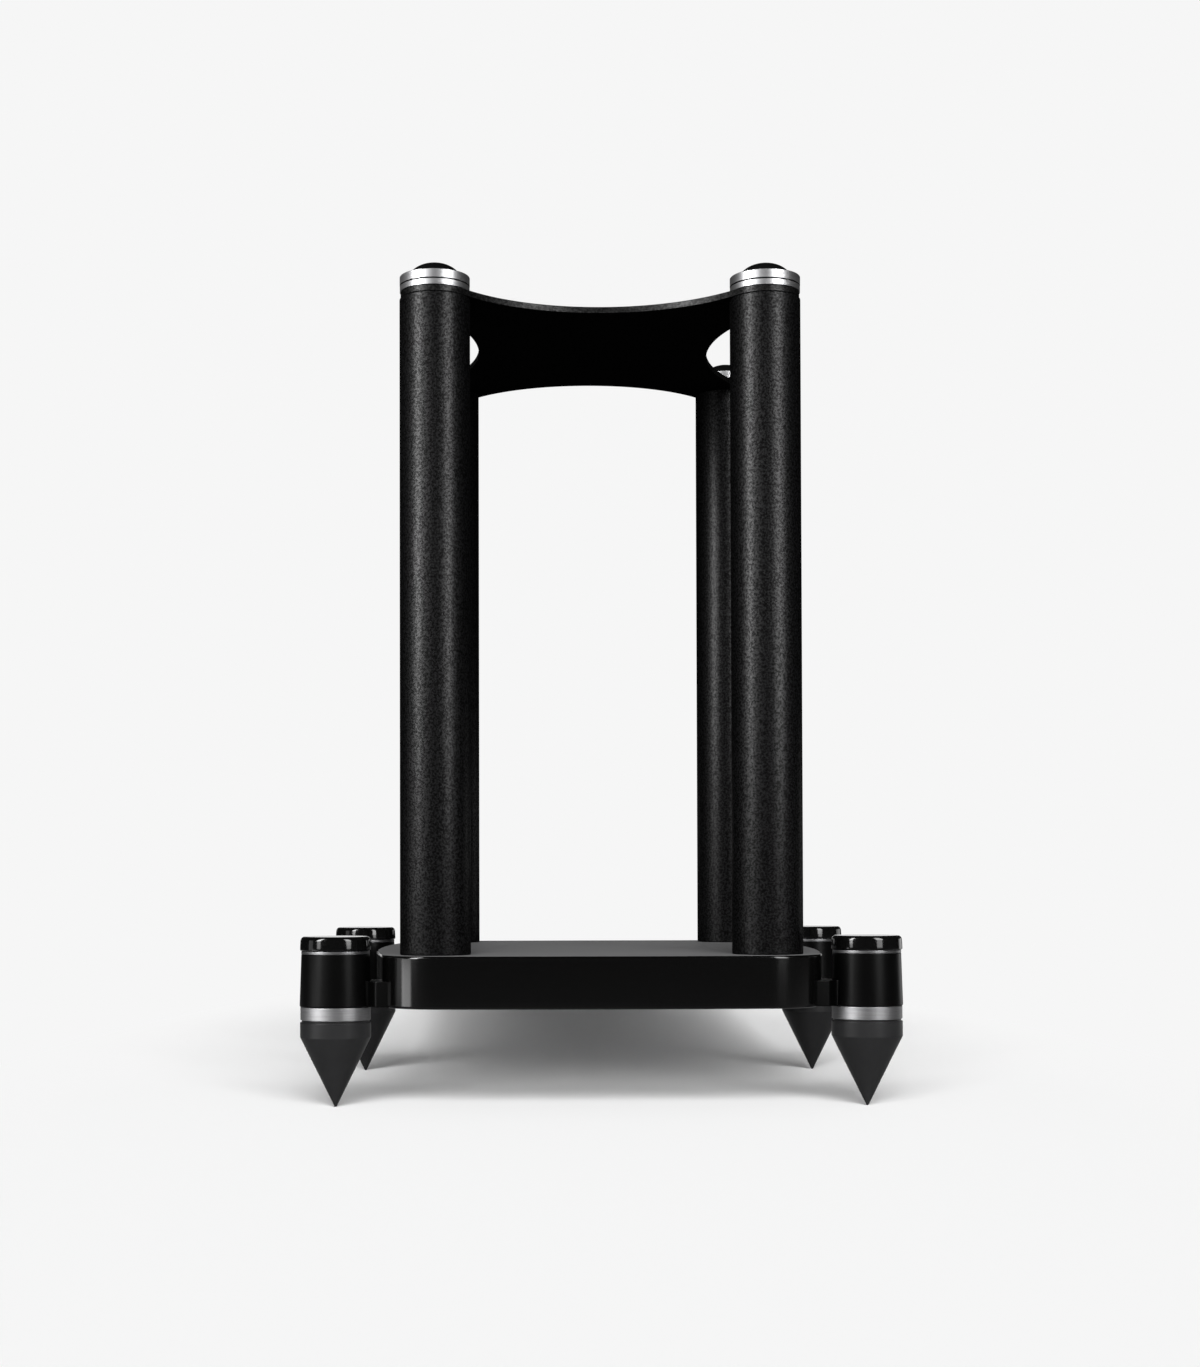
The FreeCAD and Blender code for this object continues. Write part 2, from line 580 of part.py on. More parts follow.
# ------------------------------------------------------------------------- top plate
def plate_outline(sketch):
    """A lobe round each pillar, joined by bays that curve inwards."""
    lobe = size("plate_lobe_radius")
    lobe_x, lobe_y = size("half_pillar_width"), size("half_pillar_depth")
    side_bay, front_bay = size("plate_side_bay"), size("plate_front_bay")
    side_x, front_y = size("plate_side_bay_centre"), size("plate_front_bay_centre")
    circles = [
        (FreeCAD.Vector(side_x, 0, 0), side_bay, -1),
        (FreeCAD.Vector(lobe_x, lobe_y, 0), lobe, 1),
        (FreeCAD.Vector(0, front_y, 0), front_bay, -1),
        (FreeCAD.Vector(-lobe_x, lobe_y, 0), lobe, 1),
        (FreeCAD.Vector(-side_x, 0, 0), side_bay, -1),
        (FreeCAD.Vector(-lobe_x, -lobe_y, 0), lobe, 1),
        (FreeCAD.Vector(0, -front_y, 0), front_bay, -1),
        (FreeCAD.Vector(lobe_x, -lobe_y, 0), lobe, 1),
    ]
    arcs = add_tangent_loop(sketch, circles)
    for arc, (centre, radius, turn) in zip(arcs, circles):
        middle = (arc, EDGE_POINT["centre"])
        x_side = 1 if centre.x >= 0 else -1
        y_side = 1 if centre.y >= 0 else -1
        if turn > 0:
            set_point(sketch, middle, "half_pillar_width", "half_pillar_depth", x_side, y_side)
            set_radius(sketch, arc, "plate_lobe_radius")
        elif centre.y == 0:
            set_distance(sketch, "DistanceX", middle, "plate_side_bay_centre", x_side)
        else:
            set_distance(sketch, "DistanceY", middle, "plate_front_bay_centre", y_side)


def make_top_plate():
    """Thin plate with a hole over each pillar."""
    body = add_body("top_plate")
    outline = add_sketch(body, "outline", "XY_Plane")
    plate_outline(outline)
    solid = pad(body, outline, "pad", "plate_thickness")
    rims = edges_at(solid.Shape, 0.0) + edges_at(solid.Shape, size("plate_thickness"))
    dress(body, "Chamfer", "edge_chamfer", "plate_edge_chamfer", rims)
    round_hole(body, "screw_holes", "screw_hole_radius", "plate_thickness",
               *[("half_pillar_width", "half_pillar_depth", sx, sy) for sx, sy in CORNERS.values()])
    place(body, z_alias="plate_underside")
    return keep(body)


# --------------------------------------------------------- rings, cups and rubber domes
def make_speaker_rest(corner, sx, sy):
    """Silver clamp ring, silver cup and the rubber dome that the speaker stands on."""
    spot = {"x_alias": "half_pillar_width", "y_alias": "half_pillar_depth", "x_side": sx, "y_side": sy}
    ring = add_body(f"clamp_ring_{corner}")
    solid = revolve(ring, "section", [
        ("screw_hole_radius", None),
        ("clamp_ring_radius", None),
        ("clamp_ring_radius", "clamp_ring_thickness"),
        ("screw_hole_radius", "clamp_ring_thickness"),
    ])
    rims = edges_at(solid.Shape, size("clamp_ring_thickness"), size("clamp_ring_radius"))
    dress(ring, "Chamfer", "edge", "turned_edge_chamfer", rims)
    place(ring, z_alias="plate_top", **spot)
    keep(ring)

    cup = add_body(f"pad_cup_{corner}")
    solid = revolve(cup, "section", [
        ("screw_hole_radius", None),
        ("cup_radius", None),
        ("cup_radius", "cup_thickness"),
        ("cup_recess_radius", "cup_thickness"),
        ("cup_recess_radius", "cup_floor"),
        ("screw_hole_radius", "cup_floor"),
    ])
    rims = [edge for level in (0.0, size("cup_thickness"))
            for edge in edges_at(solid.Shape, level, size("cup_radius"))]
    dress(cup, "Chamfer", "edge", "turned_edge_chamfer", rims)
    place(cup, z_alias="clamp_ring_top", **spot)
    keep(cup)

    plain = cylinder(f"dome_blank_{corner}", "dome_base_radius", "dome_height",
                     z_alias="dome_underside", **spot)
    ball = doc.addObject("Part::Sphere", f"dome_ball_{corner}")
    ball.setExpression("Radius", cell("dome_sphere_radius"))
    place(ball, z_alias="dome_sphere_centre", **spot)
    crown = doc.addObject("Part::Common", f"dome_crown_{corner}")
    crown.Base = plain
    crown.Tool = ball
    hollow = cylinder(f"dome_hollow_{corner}", "dome_pocket_radius", "dome_pocket_height",
                      z_alias="dome_underside", **spot)
    keep(cut(f"rubber_dome_{corner}", crown, hollow))


# ------------------------------------------------------------------- screws and washers
def make_screw(name, kind, head_base, shank_base, head_drop, spot):
    """Round-headed screw with a hexagon socket.

    kind is the start of the screw's cell names.  head_base and shank_base are the cells
    of the levels where head and shank start, and head_drop is true where the head lies
    below the shank, so that its socket opens downwards.
    """
    head = cylinder(f"{name}_head", f"{kind}_head_radius", f"{kind}_head_height",
                    z_alias=head_base, **spot)
    shank = cylinder(f"{name}_shank", f"{kind}_shank_radius", f"{kind}_length",
                     z_alias=shank_base, **spot)
    blank = doc.addObject("Part::Fuse", f"{name}_blank")
    blank.Base = head
    blank.Tool = shank
    socket = doc.addObject("Part::Prism", f"{name}_socket")
    socket.Polygon = HEXAGON_SIDES
    socket.setExpression("Circumradius", cell(f"{kind}_socket_radius"))
    socket.setExpression("Height", cell(f"{kind}_socket_depth"))
    place(socket, z_alias=head_base if head_drop else f"{kind}_socket_base", **spot)
    return cut(f"{name}_screw", blank, socket)


def make_washer(name, outer, inner, height, z_alias, spot):
    """Flat washer."""
    disc = cylinder(f"{name}_disc", outer, height, z_alias=z_alias, **spot)
    hole = cylinder(f"{name}_hole", inner, height, z_alias=z_alias, **spot)
    return cut(f"{name}_washer", disc, hole)


def make_fasteners():
    """The screws, bolts, washers and inserts that hold the stand together."""
    top_screws, base_bolts, bolt_washers, arm_screws, slab_inserts = [], [], [], [], []
    for corner, (sx, sy) in CORNERS.items():
        on_pillar = {"x_alias": "half_pillar_width", "y_alias": "half_pillar_depth",
                     "x_side": sx, "y_side": sy}
        top_screws.append(make_screw(f"top_screw_{corner}", "top_screw", "dome_underside",
                                     "top_screw_end", False, on_pillar))
        base_bolts.append(make_screw(f"base_bolt_{corner}", "base_bolt", "base_bolt_head_base",
                                     "base_bolt_seat", True, on_pillar))
        bolt_washers.append(make_washer(f"bolt_{corner}", "bolt_washer_radius", "screw_hole_radius",
                                        "bolt_washer_thickness", "base_bolt_seat", on_pillar))
        for row in ("near", "far"):
            on_arm = {"x_alias": "slab_insert_x", "y_alias": f"slab_insert_{row}",
                      "x_side": sx, "y_side": sy}
            arm_screws.append(make_screw(f"arm_screw_{row}_{corner}", "arm_screw",
                                         "arm_screw_head_base", "arm_screw_seat", True, on_arm))
            slab_inserts.append(make_washer(f"slab_insert_{row}_{corner}", "slab_insert_radius",
                                            "arm_screw_tapped_radius", "slab_insert_length",
                                            "slab_insert_base", on_arm))
    group("top_screws", top_screws)
    group("base_bolts", base_bolts)
    group("base_bolt_washers", bolt_washers)
    group("arm_screws", arm_screws)
    group("slab_inserts", slab_inserts)


# ------------------------------------------------------------------------------- feet
def make_foot_housing(corner, sx, sy, spot):
    """Tapered housing with the arm that is bolted into the slab, arm along +X when drawn."""
    body = add_body(f"foot_housing_{corner}")
    boss = revolve(body, "boss", [
        (None, None),
        ("foot_body_base_radius", None),
        ("foot_body_top_radius", "foot_body_height"),
        (None, "foot_body_height"),
    ])
    rims = (edges_at(boss.Shape, 0.0, size("foot_body_base_radius"))
            + edges_at(boss.Shape, size("foot_body_height"), size("foot_body_top_radius")))
    dress(body, "Fillet", "edge_round", "foot_edge_round", rims)
    bar = add_sketch(body, "arm_bar_sketch", "XY_Plane")
    add_polygon(bar, [
        (None, "arm_half_width", 1, -1),
        ("arm_end_reach", "arm_half_width", 1, -1),
        ("arm_end_reach", "arm_half_width", 1, 1),
        (None, "arm_half_width", 1, 1),
    ])
    pad(body, bar, "arm_bar", "arm_thickness")
    end = add_sketch(body, "arm_end_sketch", "XY_Plane")
    add_circle(end, "arm_half_width", "arm_end_reach", None)
    pad(body, end, "arm_end", "arm_thickness")

    round_hole(body, "collar_hole", "bush_collar_hole_radius", "bush_collar_height", ())
    round_hole(body, "bush_hole", "bush_hole_radius", "bush_hole_depth", ())
    round_hole(body, "stud_hole", "stud_passing_radius", "foot_body_height", ())
    # On the right the arm is turned to point inwards, which swaps its front and rear.
    bolt_side = -sx * sy
    bolt = ("bolt_reach", "bolt_offset", 1, bolt_side)
    round_hole(body, "bolt_recess", "bolt_recess_radius", "bolt_recess_depth", bolt)
    round_hole(body, "bolt_hole", "screw_hole_radius", "arm_thickness", bolt)
    screws = [("arm_screw_reach", "arm_screw_offset", 1, side) for side in (1, -1)]
    round_hole(body, "screw_recess", "arm_screw_recess_radius", "arm_screw_recess_depth", *screws)
    round_hole(body, "screw_hole", "arm_screw_hole_radius", "arm_thickness", *screws)
    if sx > 0:
        body.Placement = FreeCAD.Placement(FreeCAD.Vector(), FreeCAD.Rotation(UP, HALF_TURN))
    place(body, z_alias="foot_underside", **spot)
    keep(body)


def make_foot_bush(corner, spot):
    """Threaded bush with a collar below, which takes the push of the spike."""
    bush = add_body(f"foot_bush_{corner}")
    revolve(bush, "section", [
        ("stud_fit_radius", None),
        ("bush_collar_radius", None),
        ("bush_collar_radius", "bush_collar_height"),
        ("bush_radius", "bush_collar_height"),
        ("bush_radius", "bush_length"),
        ("stud_fit_radius", "bush_length"),
    ])
    place(bush, z_alias="foot_underside", **spot)
    keep(bush)


def make_spike(corner, spot):
    """Cone and barrel, the silver ring on its spigot and the threaded stud in its bore."""
    spike = add_body(f"spike_{corner}")
    solid = revolve(spike, "section", [
        (None, None),
        ("spike_tip_radius", None),
        ("spike_radius", "spike_cone_height"),
        ("spike_radius", "spike_neck_base"),
        ("spike_neck_radius", "spike_neck_base"),
        ("spike_neck_radius", "spike_ring_base"),
        ("spike_spigot_radius", "spike_ring_base"),
        ("spike_spigot_radius", "spike_spigot_top"),
        ("stud_fit_radius", "spike_spigot_top"),
        ("stud_fit_radius", "spike_bore_base"),
        (None, "spike_bore_base"),
    ])
    dress(spike, "Chamfer", "shoulder", "turned_edge_chamfer",
          edges_at(solid.Shape, size("spike_neck_base"), size("spike_radius")))
    place(spike, **spot)
    keep(spike)

    ring = add_body(f"spike_ring_{corner}")
    solid = revolve(ring, "section", [
        ("spike_ring_bore_radius", None),
        ("spike_ring_radius", None),
        ("spike_ring_radius", "spike_ring_height"),
        ("spike_ring_bore_radius", "spike_ring_height"),
    ])
    rims = [edge for level in (0.0, size("spike_ring_height"))
            for edge in edges_at(solid.Shape, level, size("spike_ring_radius"))]
    dress(ring, "Chamfer", "edge", "turned_edge_chamfer", rims)
    place(ring, z_alias="spike_ring_base", **spot)
    keep(ring)

    stud = add_body(f"spike_stud_{corner}")
    solid = revolve(stud, "section", [
        (None, None),
        ("stud_radius", None),
        ("stud_radius", "stud_height"),
        (None, "stud_height"),
    ])
    rims = (edges_at(solid.Shape, 0.0, size("stud_radius"))
            + edges_at(solid.Shape, size("stud_height"), size("stud_radius")))
    dress(stud, "Chamfer", "ends", "stud_chamfer", rims)
    place(stud, z_alias="stud_base", **spot)
    keep(stud)


def make_lock_knob(corner, spot):
    """Knob with rounded edges and the threaded insert inside it."""
    knob = add_body(f"lock_knob_{corner}")
    solid = revolve(knob, "section", [
        ("knob_pocket_radius", None),
        ("knob_radius", None),
        ("knob_radius", "knob_height"),
        (None, "knob_height"),
        (None, "knob_pocket_height"),
        ("knob_pocket_radius", "knob_pocket_height"),
    ])
    dress(knob, "Fillet", "base_round", "knob_base_round",
          edges_at(solid.Shape, 0.0, size("knob_radius")))
    dress(knob, "Fillet", "top_round", "knob_top_round",
          edges_at(knob.Shape, size("knob_height"), size("knob_radius")))
    place(knob, z_alias="knob_underside", **spot)
    keep(knob)

    insert = add_body(f"knob_insert_{corner}")
    revolve(insert, "section", [
        ("stud_fit_radius", None),
        ("knob_insert_radius", None),
        ("knob_insert_radius", "knob_insert_height"),
        ("stud_fit_radius", "knob_insert_height"),
    ])
    place(insert, z_alias="knob_underside", **spot)
    keep(insert)


def make_feet():
    """The four adjustable feet."""
    washers = []
    for corner, (sx, sy) in CORNERS.items():
        spot = {"x_alias": "half_foot_width", "y_alias": "half_foot_depth", "x_side": sx, "y_side": sy}
        make_foot_housing(corner, sx, sy, spot)
        make_foot_bush(corner, spot)
        make_spike(corner, spot)
        make_lock_knob(corner, spot)
        washers.append(make_washer(f"foot_{corner}", "foot_body_top_radius", "stud_passing_radius",
                                   "foot_washer_thickness", "foot_body_top", spot))
    group("foot_washers", washers)


# --------------------------------------------------------------- the stand, then its files
make_base_slab()
make_top_plate()
for corner_name, (across_side, depth_side) in CORNERS.items():
    make_pillar(corner_name, across_side, depth_side)
    make_speaker_rest(corner_name, across_side, depth_side)
make_fasteners()
make_feet()
doc.recompute()

for item in doc.Objects:
    if "Invalid" in item.State or "Error" in item.State:
        raise RuntimeError(f"{item.Name} failed: {item.State}")
for node in nodes:
    if node.Shape.isNull() or not node.Shape.isValid():
        raise RuntimeError(f"{node.Label} has no valid shape")
for node in nodes:
    node.Shape.exportStep(f"parts/{node.Label}.step")
    print(f"{node.Label}: {len(node.Shape.Solids)} solids, {node.Shape.Volume / 1000:.2f} cm3")
print(f"{len(nodes)} nodes")
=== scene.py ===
"""Speaker stand: four round pillars on a bowed base slab, a lobed top plate with rubber domes,
and four outrigger feet with adjustable spikes and lock knobs.

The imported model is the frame.  The pieces here stand in for the nodes that show, at the same
places and sizes; hidden nodes keep their own meshes and only get a finish.  Lengths are metres.
"""

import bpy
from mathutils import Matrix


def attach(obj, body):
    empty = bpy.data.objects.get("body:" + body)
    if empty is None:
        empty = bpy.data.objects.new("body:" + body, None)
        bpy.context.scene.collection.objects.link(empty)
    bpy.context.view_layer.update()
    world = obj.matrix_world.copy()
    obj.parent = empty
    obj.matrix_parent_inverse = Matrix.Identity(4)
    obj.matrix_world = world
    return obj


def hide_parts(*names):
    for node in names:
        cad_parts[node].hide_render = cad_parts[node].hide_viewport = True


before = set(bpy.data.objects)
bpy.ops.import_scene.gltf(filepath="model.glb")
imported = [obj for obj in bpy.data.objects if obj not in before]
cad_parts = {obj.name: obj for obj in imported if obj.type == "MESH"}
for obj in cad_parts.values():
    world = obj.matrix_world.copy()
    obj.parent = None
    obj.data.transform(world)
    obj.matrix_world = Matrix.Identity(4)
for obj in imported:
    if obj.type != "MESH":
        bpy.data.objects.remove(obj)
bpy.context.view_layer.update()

import logging
import math
from dataclasses import dataclass
from enum import Enum
from typing import Dict, Iterable, List, Optional, Sequence, Tuple, Union

import bmesh
import bpy
from mathutils import Matrix, Vector

LOG = logging.getLogger("speaker_stand")
MM = 0.001
SEGMENTS = 144  # faces round a turned piece
HOLE_SEGMENTS = 64  # faces round a hole
SUPPORT = 0.12 * MM  # width of the flat row on each side of a rounded edge
SHARP_ANGLE = math.radians(38.0)  # edges that turn further stay sharp
CAP_CORNERS = 8  # faces with more corners are flat caps
MERGE_DISTANCE = 1e-6
OVERSHOOT = 1.0 * MM  # how far a cutting shape stands past the surface that it cuts

Point = Tuple[float, float]
Place = Tuple[float, float, float]
Colour = Tuple[float, float, float]
Value = Union[float, "Term"]


class Body(Enum):
    """The CAD bodies that pieces ride on; all but the stand have one copy at each corner."""

    STAND = "stand"
    STUD = "stud"
    SPIKE = "spike"
    INSERT = "insert"
    KNOB = "knob"

    def at(self, corner: "Corner") -> str:
        """Name of this body at a corner."""
        return self.value if self is Body.STAND else f"{self.value}_{corner.label}"


class Corner(Enum):
    """The four corners of the stand, with the sides they are on."""

    FRONT_LEFT = (-1, -1)
    FRONT_RIGHT = (1, -1)
    REAR_LEFT = (-1, 1)
    REAR_RIGHT = (1, 1)

    @property
    def label(self) -> str:
        """Ending of the names at this corner."""
        return self.name.lower()

    def place(self, spot: Point) -> Point:
        """The spot, given for the rear right corner, moved to this one."""
        return spot[0] * self.value[0], spot[1] * self.value[1]


PILLAR_SPOT: Point = (105.6 * MM, 131.3 * MM)
FOOT_SPOT: Point = (169.4 * MM, 126.8 * MM)
ARM_SCREW_X = 128.4 * MM
ARM_SCREW_SPREAD = 10.0 * MM


# ------------------------------------------------------------------------- node building
class Term:
    """A number that a node gives, which can be used in sums."""

    def __init__(self, graph: "Graph", socket: bpy.types.NodeSocket) -> None:
        """Wraps an output socket of a graph's node."""
        self.graph = graph
        self.socket = socket

    def math(self, operation: str, *values: Value) -> "Term":
        """A Math node of that operation on the values, this term first if none is given."""
        inputs = dict(enumerate(values or (self,)))
        return self.graph.term("ShaderNodeMath", {"operation": operation}, inputs)

    def __add__(self, other: Value) -> "Term":
        """Sum."""
        return self.math("ADD", self, other)

    def __radd__(self, other: Value) -> "Term":
        """Sum, with the plain number first."""
        return self.math("ADD", other, self)

    def __sub__(self, other: Value) -> "Term":
        """Difference."""
        return self.math("SUBTRACT", self, other)

    def __rsub__(self, other: Value) -> "Term":
        """Difference, with the plain number first."""
        return self.math("SUBTRACT", other, self)

    def __mul__(self, other: Value) -> "Term":
        """Product."""
        return self.math("MULTIPLY", self, other)

    def __rmul__(self, other: Value) -> "Term":
        """Product, with the plain number first."""
        return self.math("MULTIPLY", other, self)

    def __truediv__(self, other: Value) -> "Term":
        """Quotient."""
        return self.math("DIVIDE", self, other)

    def __rtruediv__(self, other: Value) -> "Term":
        """Quotient, with the plain number first."""
        return self.math("DIVIDE", other, self)

    def __abs__(self) -> "Term":
        """Size without its sign."""
        return self.math("ABSOLUTE")

    def root(self) -> "Term":
        """Square root."""
        return self.math("SQRT")

    def larger(self, other: Value) -> "Term":
        """The larger of the two."""
        return self.math("MAXIMUM", self, other)

    def step(self, low: float, high: float) -> "Term":
        """Smooth rise from 0 at low to 1 at high.

        Args:
            low: value up to which it gives 0.
            high: value from which it gives 1.

        Returns:
            The share.
        """
        settings = {"interpolation_type": "SMOOTHSTEP"}
        inputs = {"Value": self, "From Min": low, "From Max": high}
        return self.graph.term("ShaderNodeMapRange", settings, inputs)


class Graph:
    """A node tree, and the one way in which nodes are added to it."""

    def __init__(self, tree: bpy.types.NodeTree) -> None:
        """Starts on an emptied tree."""
        self.tree = tree
        tree.nodes.clear()

    def node(self, kind: str, settings: Optional[dict] = None,
             inputs: Optional[dict] = None) -> bpy.types.Node:
        """Adds a node.

        Args:
            kind: Blender's name for the node's type.
            settings: properties of the node, set before its sockets are filled.
            inputs: numbers, sockets or terms by the name or number of the input.

        Returns:
            The new node.
        """
        node = self.tree.nodes.new(kind)
        for name, value in (settings or {}).items():
            setattr(node, name, value)
        for key, value in (inputs or {}).items():
            if isinstance(value, Term):
                value = value.socket
            if isinstance(value, bpy.types.NodeSocket):
                self.tree.links.new(value, node.inputs[key])
            else:
                node.inputs[key].default_value = value
        return node

    def term(self, kind: str, settings: Optional[dict] = None, inputs: Optional[dict] = None,
             output: Union[int, str] = 0) -> Term:
        """Adds a node and returns one of its outputs as a term."""
        return Term(self, self.node(kind, settings, inputs).outputs[output])


class Shading(Graph):
    """The node tree of one material, with the sockets that every finish starts from."""

    def __init__(self, material: bpy.types.Material) -> None:
        """Starts the material's tree with its place in the frame's coordinates.

        Args:
            material: material whose tree it is.
        """
        material.use_nodes = True
        super().__init__(material.node_tree)
        self.place = self.node("ShaderNodeTexCoord").outputs["Object"]
        axes = self.node("ShaderNodeSeparateXYZ", inputs={0: self.place}).outputs
        self.x, self.y, self.z = (Term(self, axis) for axis in axes)

    def vector(self, x: Value, y: Value, z: Value) -> Term:
        """Three numbers as one vector."""
        return self.term("ShaderNodeCombineXYZ", inputs={0: x, 1: y, 2: z})

    def noise(self, place: Union[Term, bpy.types.NodeSocket], scale: float, detail: float = 2.0,
              roughness: float = 0.5) -> Term:
        """Noise between 0 and 1."""
        inputs = {"Vector": place, "Scale": scale, "Detail": detail, "Roughness": roughness}
        return self.term("ShaderNodeTexNoise", inputs=inputs)

    def tint(self, factor: Value, first: Colour, second: Union[Colour, Term]) -> Term:
        """Colour between two, of which the second may vary, by a factor.

        Args:
            factor: 0 for the first colour and 1 for the second.
            first: plain colour.
            second: plain colour, or one that varies.

        Returns:
            The colour.
        """
        inputs = {0: factor, 6: (*first, 1.0),
                  7: second if isinstance(second, Term) else (*second, 1.0)}
        return self.term("ShaderNodeMix", {"data_type": "RGBA"}, inputs, output=2)

    def bump(self, height: Term, distance: float, strength: float = 1.0) -> Term:
        """Normal of a relief whose height of 1 stands for the distance."""
        inputs = {"Height": height, "Distance": distance, "Strength": strength}
        return self.term("ShaderNodeBump", inputs=inputs)

    def radius(self, spot: Point) -> Term:
        """Distance from the axis that stands at the spot in each corner."""
        across, along = abs(self.x) - spot[0], abs(self.y) - spot[1]
        return (across * across + along * along).root()

    def finish(self, **inputs: object) -> None:
        """Ends the tree with a Principled shader; names have _ for their spaces.

        Args:
            inputs: values and terms by the shader's inputs.
        """
        named = {name.replace("_", " "): value for name, value in inputs.items()}
        shader = self.node("ShaderNodeBsdfPrincipled", inputs=named)
        self.node("ShaderNodeOutputMaterial", inputs={"Surface": shader.outputs[0]})


# ------------------------------------------------------------------------------ finishes
@dataclass(frozen=True)
class Finish:
    """What every finish has: a name and the way to its material."""

    name: str

    def shade(self, shading: Shading) -> None:
        """Builds the nodes."""
        raise NotImplementedError

    def material(self) -> bpy.types.Material:
        """The finish's material, built once.

        Returns:
            The material.
        """
        title = f"{self.name}_finish"
        known = bpy.data.materials.get(title)
        if known is not None:
            return known
        made = bpy.data.materials.new(title)
        self.shade(Shading(made))
        return made


@dataclass(frozen=True)
class PowderCoat(Finish):
    """Fine textured black powder coat with a leathery grain."""

    dark: Colour = (0.0004, 0.0004, 0.0004)
    light: Colour = (0.0020, 0.0020, 0.0022)
    roughness: float = 0.375
    gloss: float = 0.090
    bare_below: float = 0.0
    grain: float = 1.35 * MM
    relief: float = 0.30 * MM
    speckle: float = 0.72
    coat_ior: float = 2.3
    fine_ratio: float = 3.1
    fine_share: float = 0.3
    peak_low: float = 0.40
    peak_high: float = 0.61
    dull: float = 0.15
    hollow_dull: float = 0.14
    coat_fade: float = 0.2 * MM

    def shade(self, shading: Shading) -> None:
        """Grain from two noises, which also varies tone and roughness.

        Args:
            shading: node tree of the finish's material.
        """
        coarse = shading.noise(shading.place, 1.0 / self.grain, roughness=0.55)
        fine = shading.noise(shading.place, self.fine_ratio / self.grain, detail=1.0)
        grain = coarse * (1.0 - self.fine_share) + fine * self.fine_share
        peaks = grain.step(self.peak_low, self.peak_high)
        coated = shading.z.step(self.bare_below, self.bare_below + self.coat_fade)
        shading.finish(
            Base_Color=shading.tint(peaks, self.dark, self.light),
            Roughness=self.roughness + self.dull + (1.0 - peaks) * self.hollow_dull,
            Specular_IOR_Level=0.0,
            Coat_Weight=coated * (1.0 - self.speckle + peaks * self.speckle) * self.gloss,
            Coat_Roughness=self.roughness,
            Coat_IOR=self.coat_ior,
            Normal=shading.bump(grain, self.relief))


@dataclass(frozen=True)
class SlabLacquer(Finish):
    """High gloss black lacquer round the slab, with a satin top whose grey colour is painted
    sheen.
    """

    colour: Colour = (0.0012, 0.0012, 0.0012)
    # painted sheen: these two greys on the top face stand in for the reflection of the pale
    # backdrop on a black top
    satin: Colour = (0.140, 0.140, 0.142)
    sheen: Colour = (0.115, 0.115, 0.117)
    satin_low: float = 96.56 * MM
    satin_high: float = 96.65 * MM
    fleck_scale: float = 900.0
    wave_scale: float = 22.0
    wave_share: float = 0.35
    roughness: float = 0.13
    satin_dull: float = 0.36
    fleck_dull: float = 0.12
    specular: float = 0.26
    relief: float = 0.02 * MM
    relief_strength: float = 0.6

    def shade(self, shading: Shading) -> None:
        """A mask at the top face parts satin from gloss; on the top it also lays a painted sheen,
        a grey that stands in for the pale backdrop mirrored at a low angle.

        Args:
            shading: node tree of the finish's material.
        """
        satin = shading.z.step(self.satin_low, self.satin_high)
        fleck = shading.noise(shading.place, self.fleck_scale, detail=3.0, roughness=0.6)
        wave = shading.noise(shading.place, self.wave_scale, detail=1.0)
        relief = satin * fleck + (1.0 - satin) * wave * self.wave_share
        # painted sheen on the top face, mottled by the flecks
        top = shading.tint(fleck.step(0.3, 0.7), self.sheen, self.satin)
        shading.finish(
            Base_Color=shading.tint(satin, self.colour, top),
            Roughness=self.roughness + satin * (self.satin_dull + fleck * self.fleck_dull),
            Specular_IOR_Level=self.specular,
            Normal=shading.bump(relief, self.relief, self.relief_strength))


@dataclass(frozen=True)
class SatinPaint(Finish):
    """Smooth satin black paint."""

    colour: Colour = (0.0004, 0.0004, 0.0004)
    worn: Colour = (0.0010, 0.0010, 0.0010)
    roughness: float = 0.3
    roughness_range: float = 0.1
    specular: float = 0.055
    peel_scale: float = 1500.0
    cloud_scale: float = 30.0
    relief: float = 0.012 * MM
    relief_strength: float = 0.6

    def shade(self, shading: Shading) -> None:
        """Very fine orange peel and a slight cloud in the sheen.

        Args:
            shading: node tree of the finish's material.
        """
        peel = shading.noise(shading.place, self.peel_scale, detail=1.0)
        cloud = shading.noise(shading.place, self.cloud_scale)
        shading.finish(
            Base_Color=shading.tint(cloud, self.colour, self.worn),
            Roughness=self.roughness + (cloud - 0.5) * self.roughness_range,
            Specular_IOR_Level=self.specular,
            Normal=shading.bump(peel, self.relief, self.relief_strength))


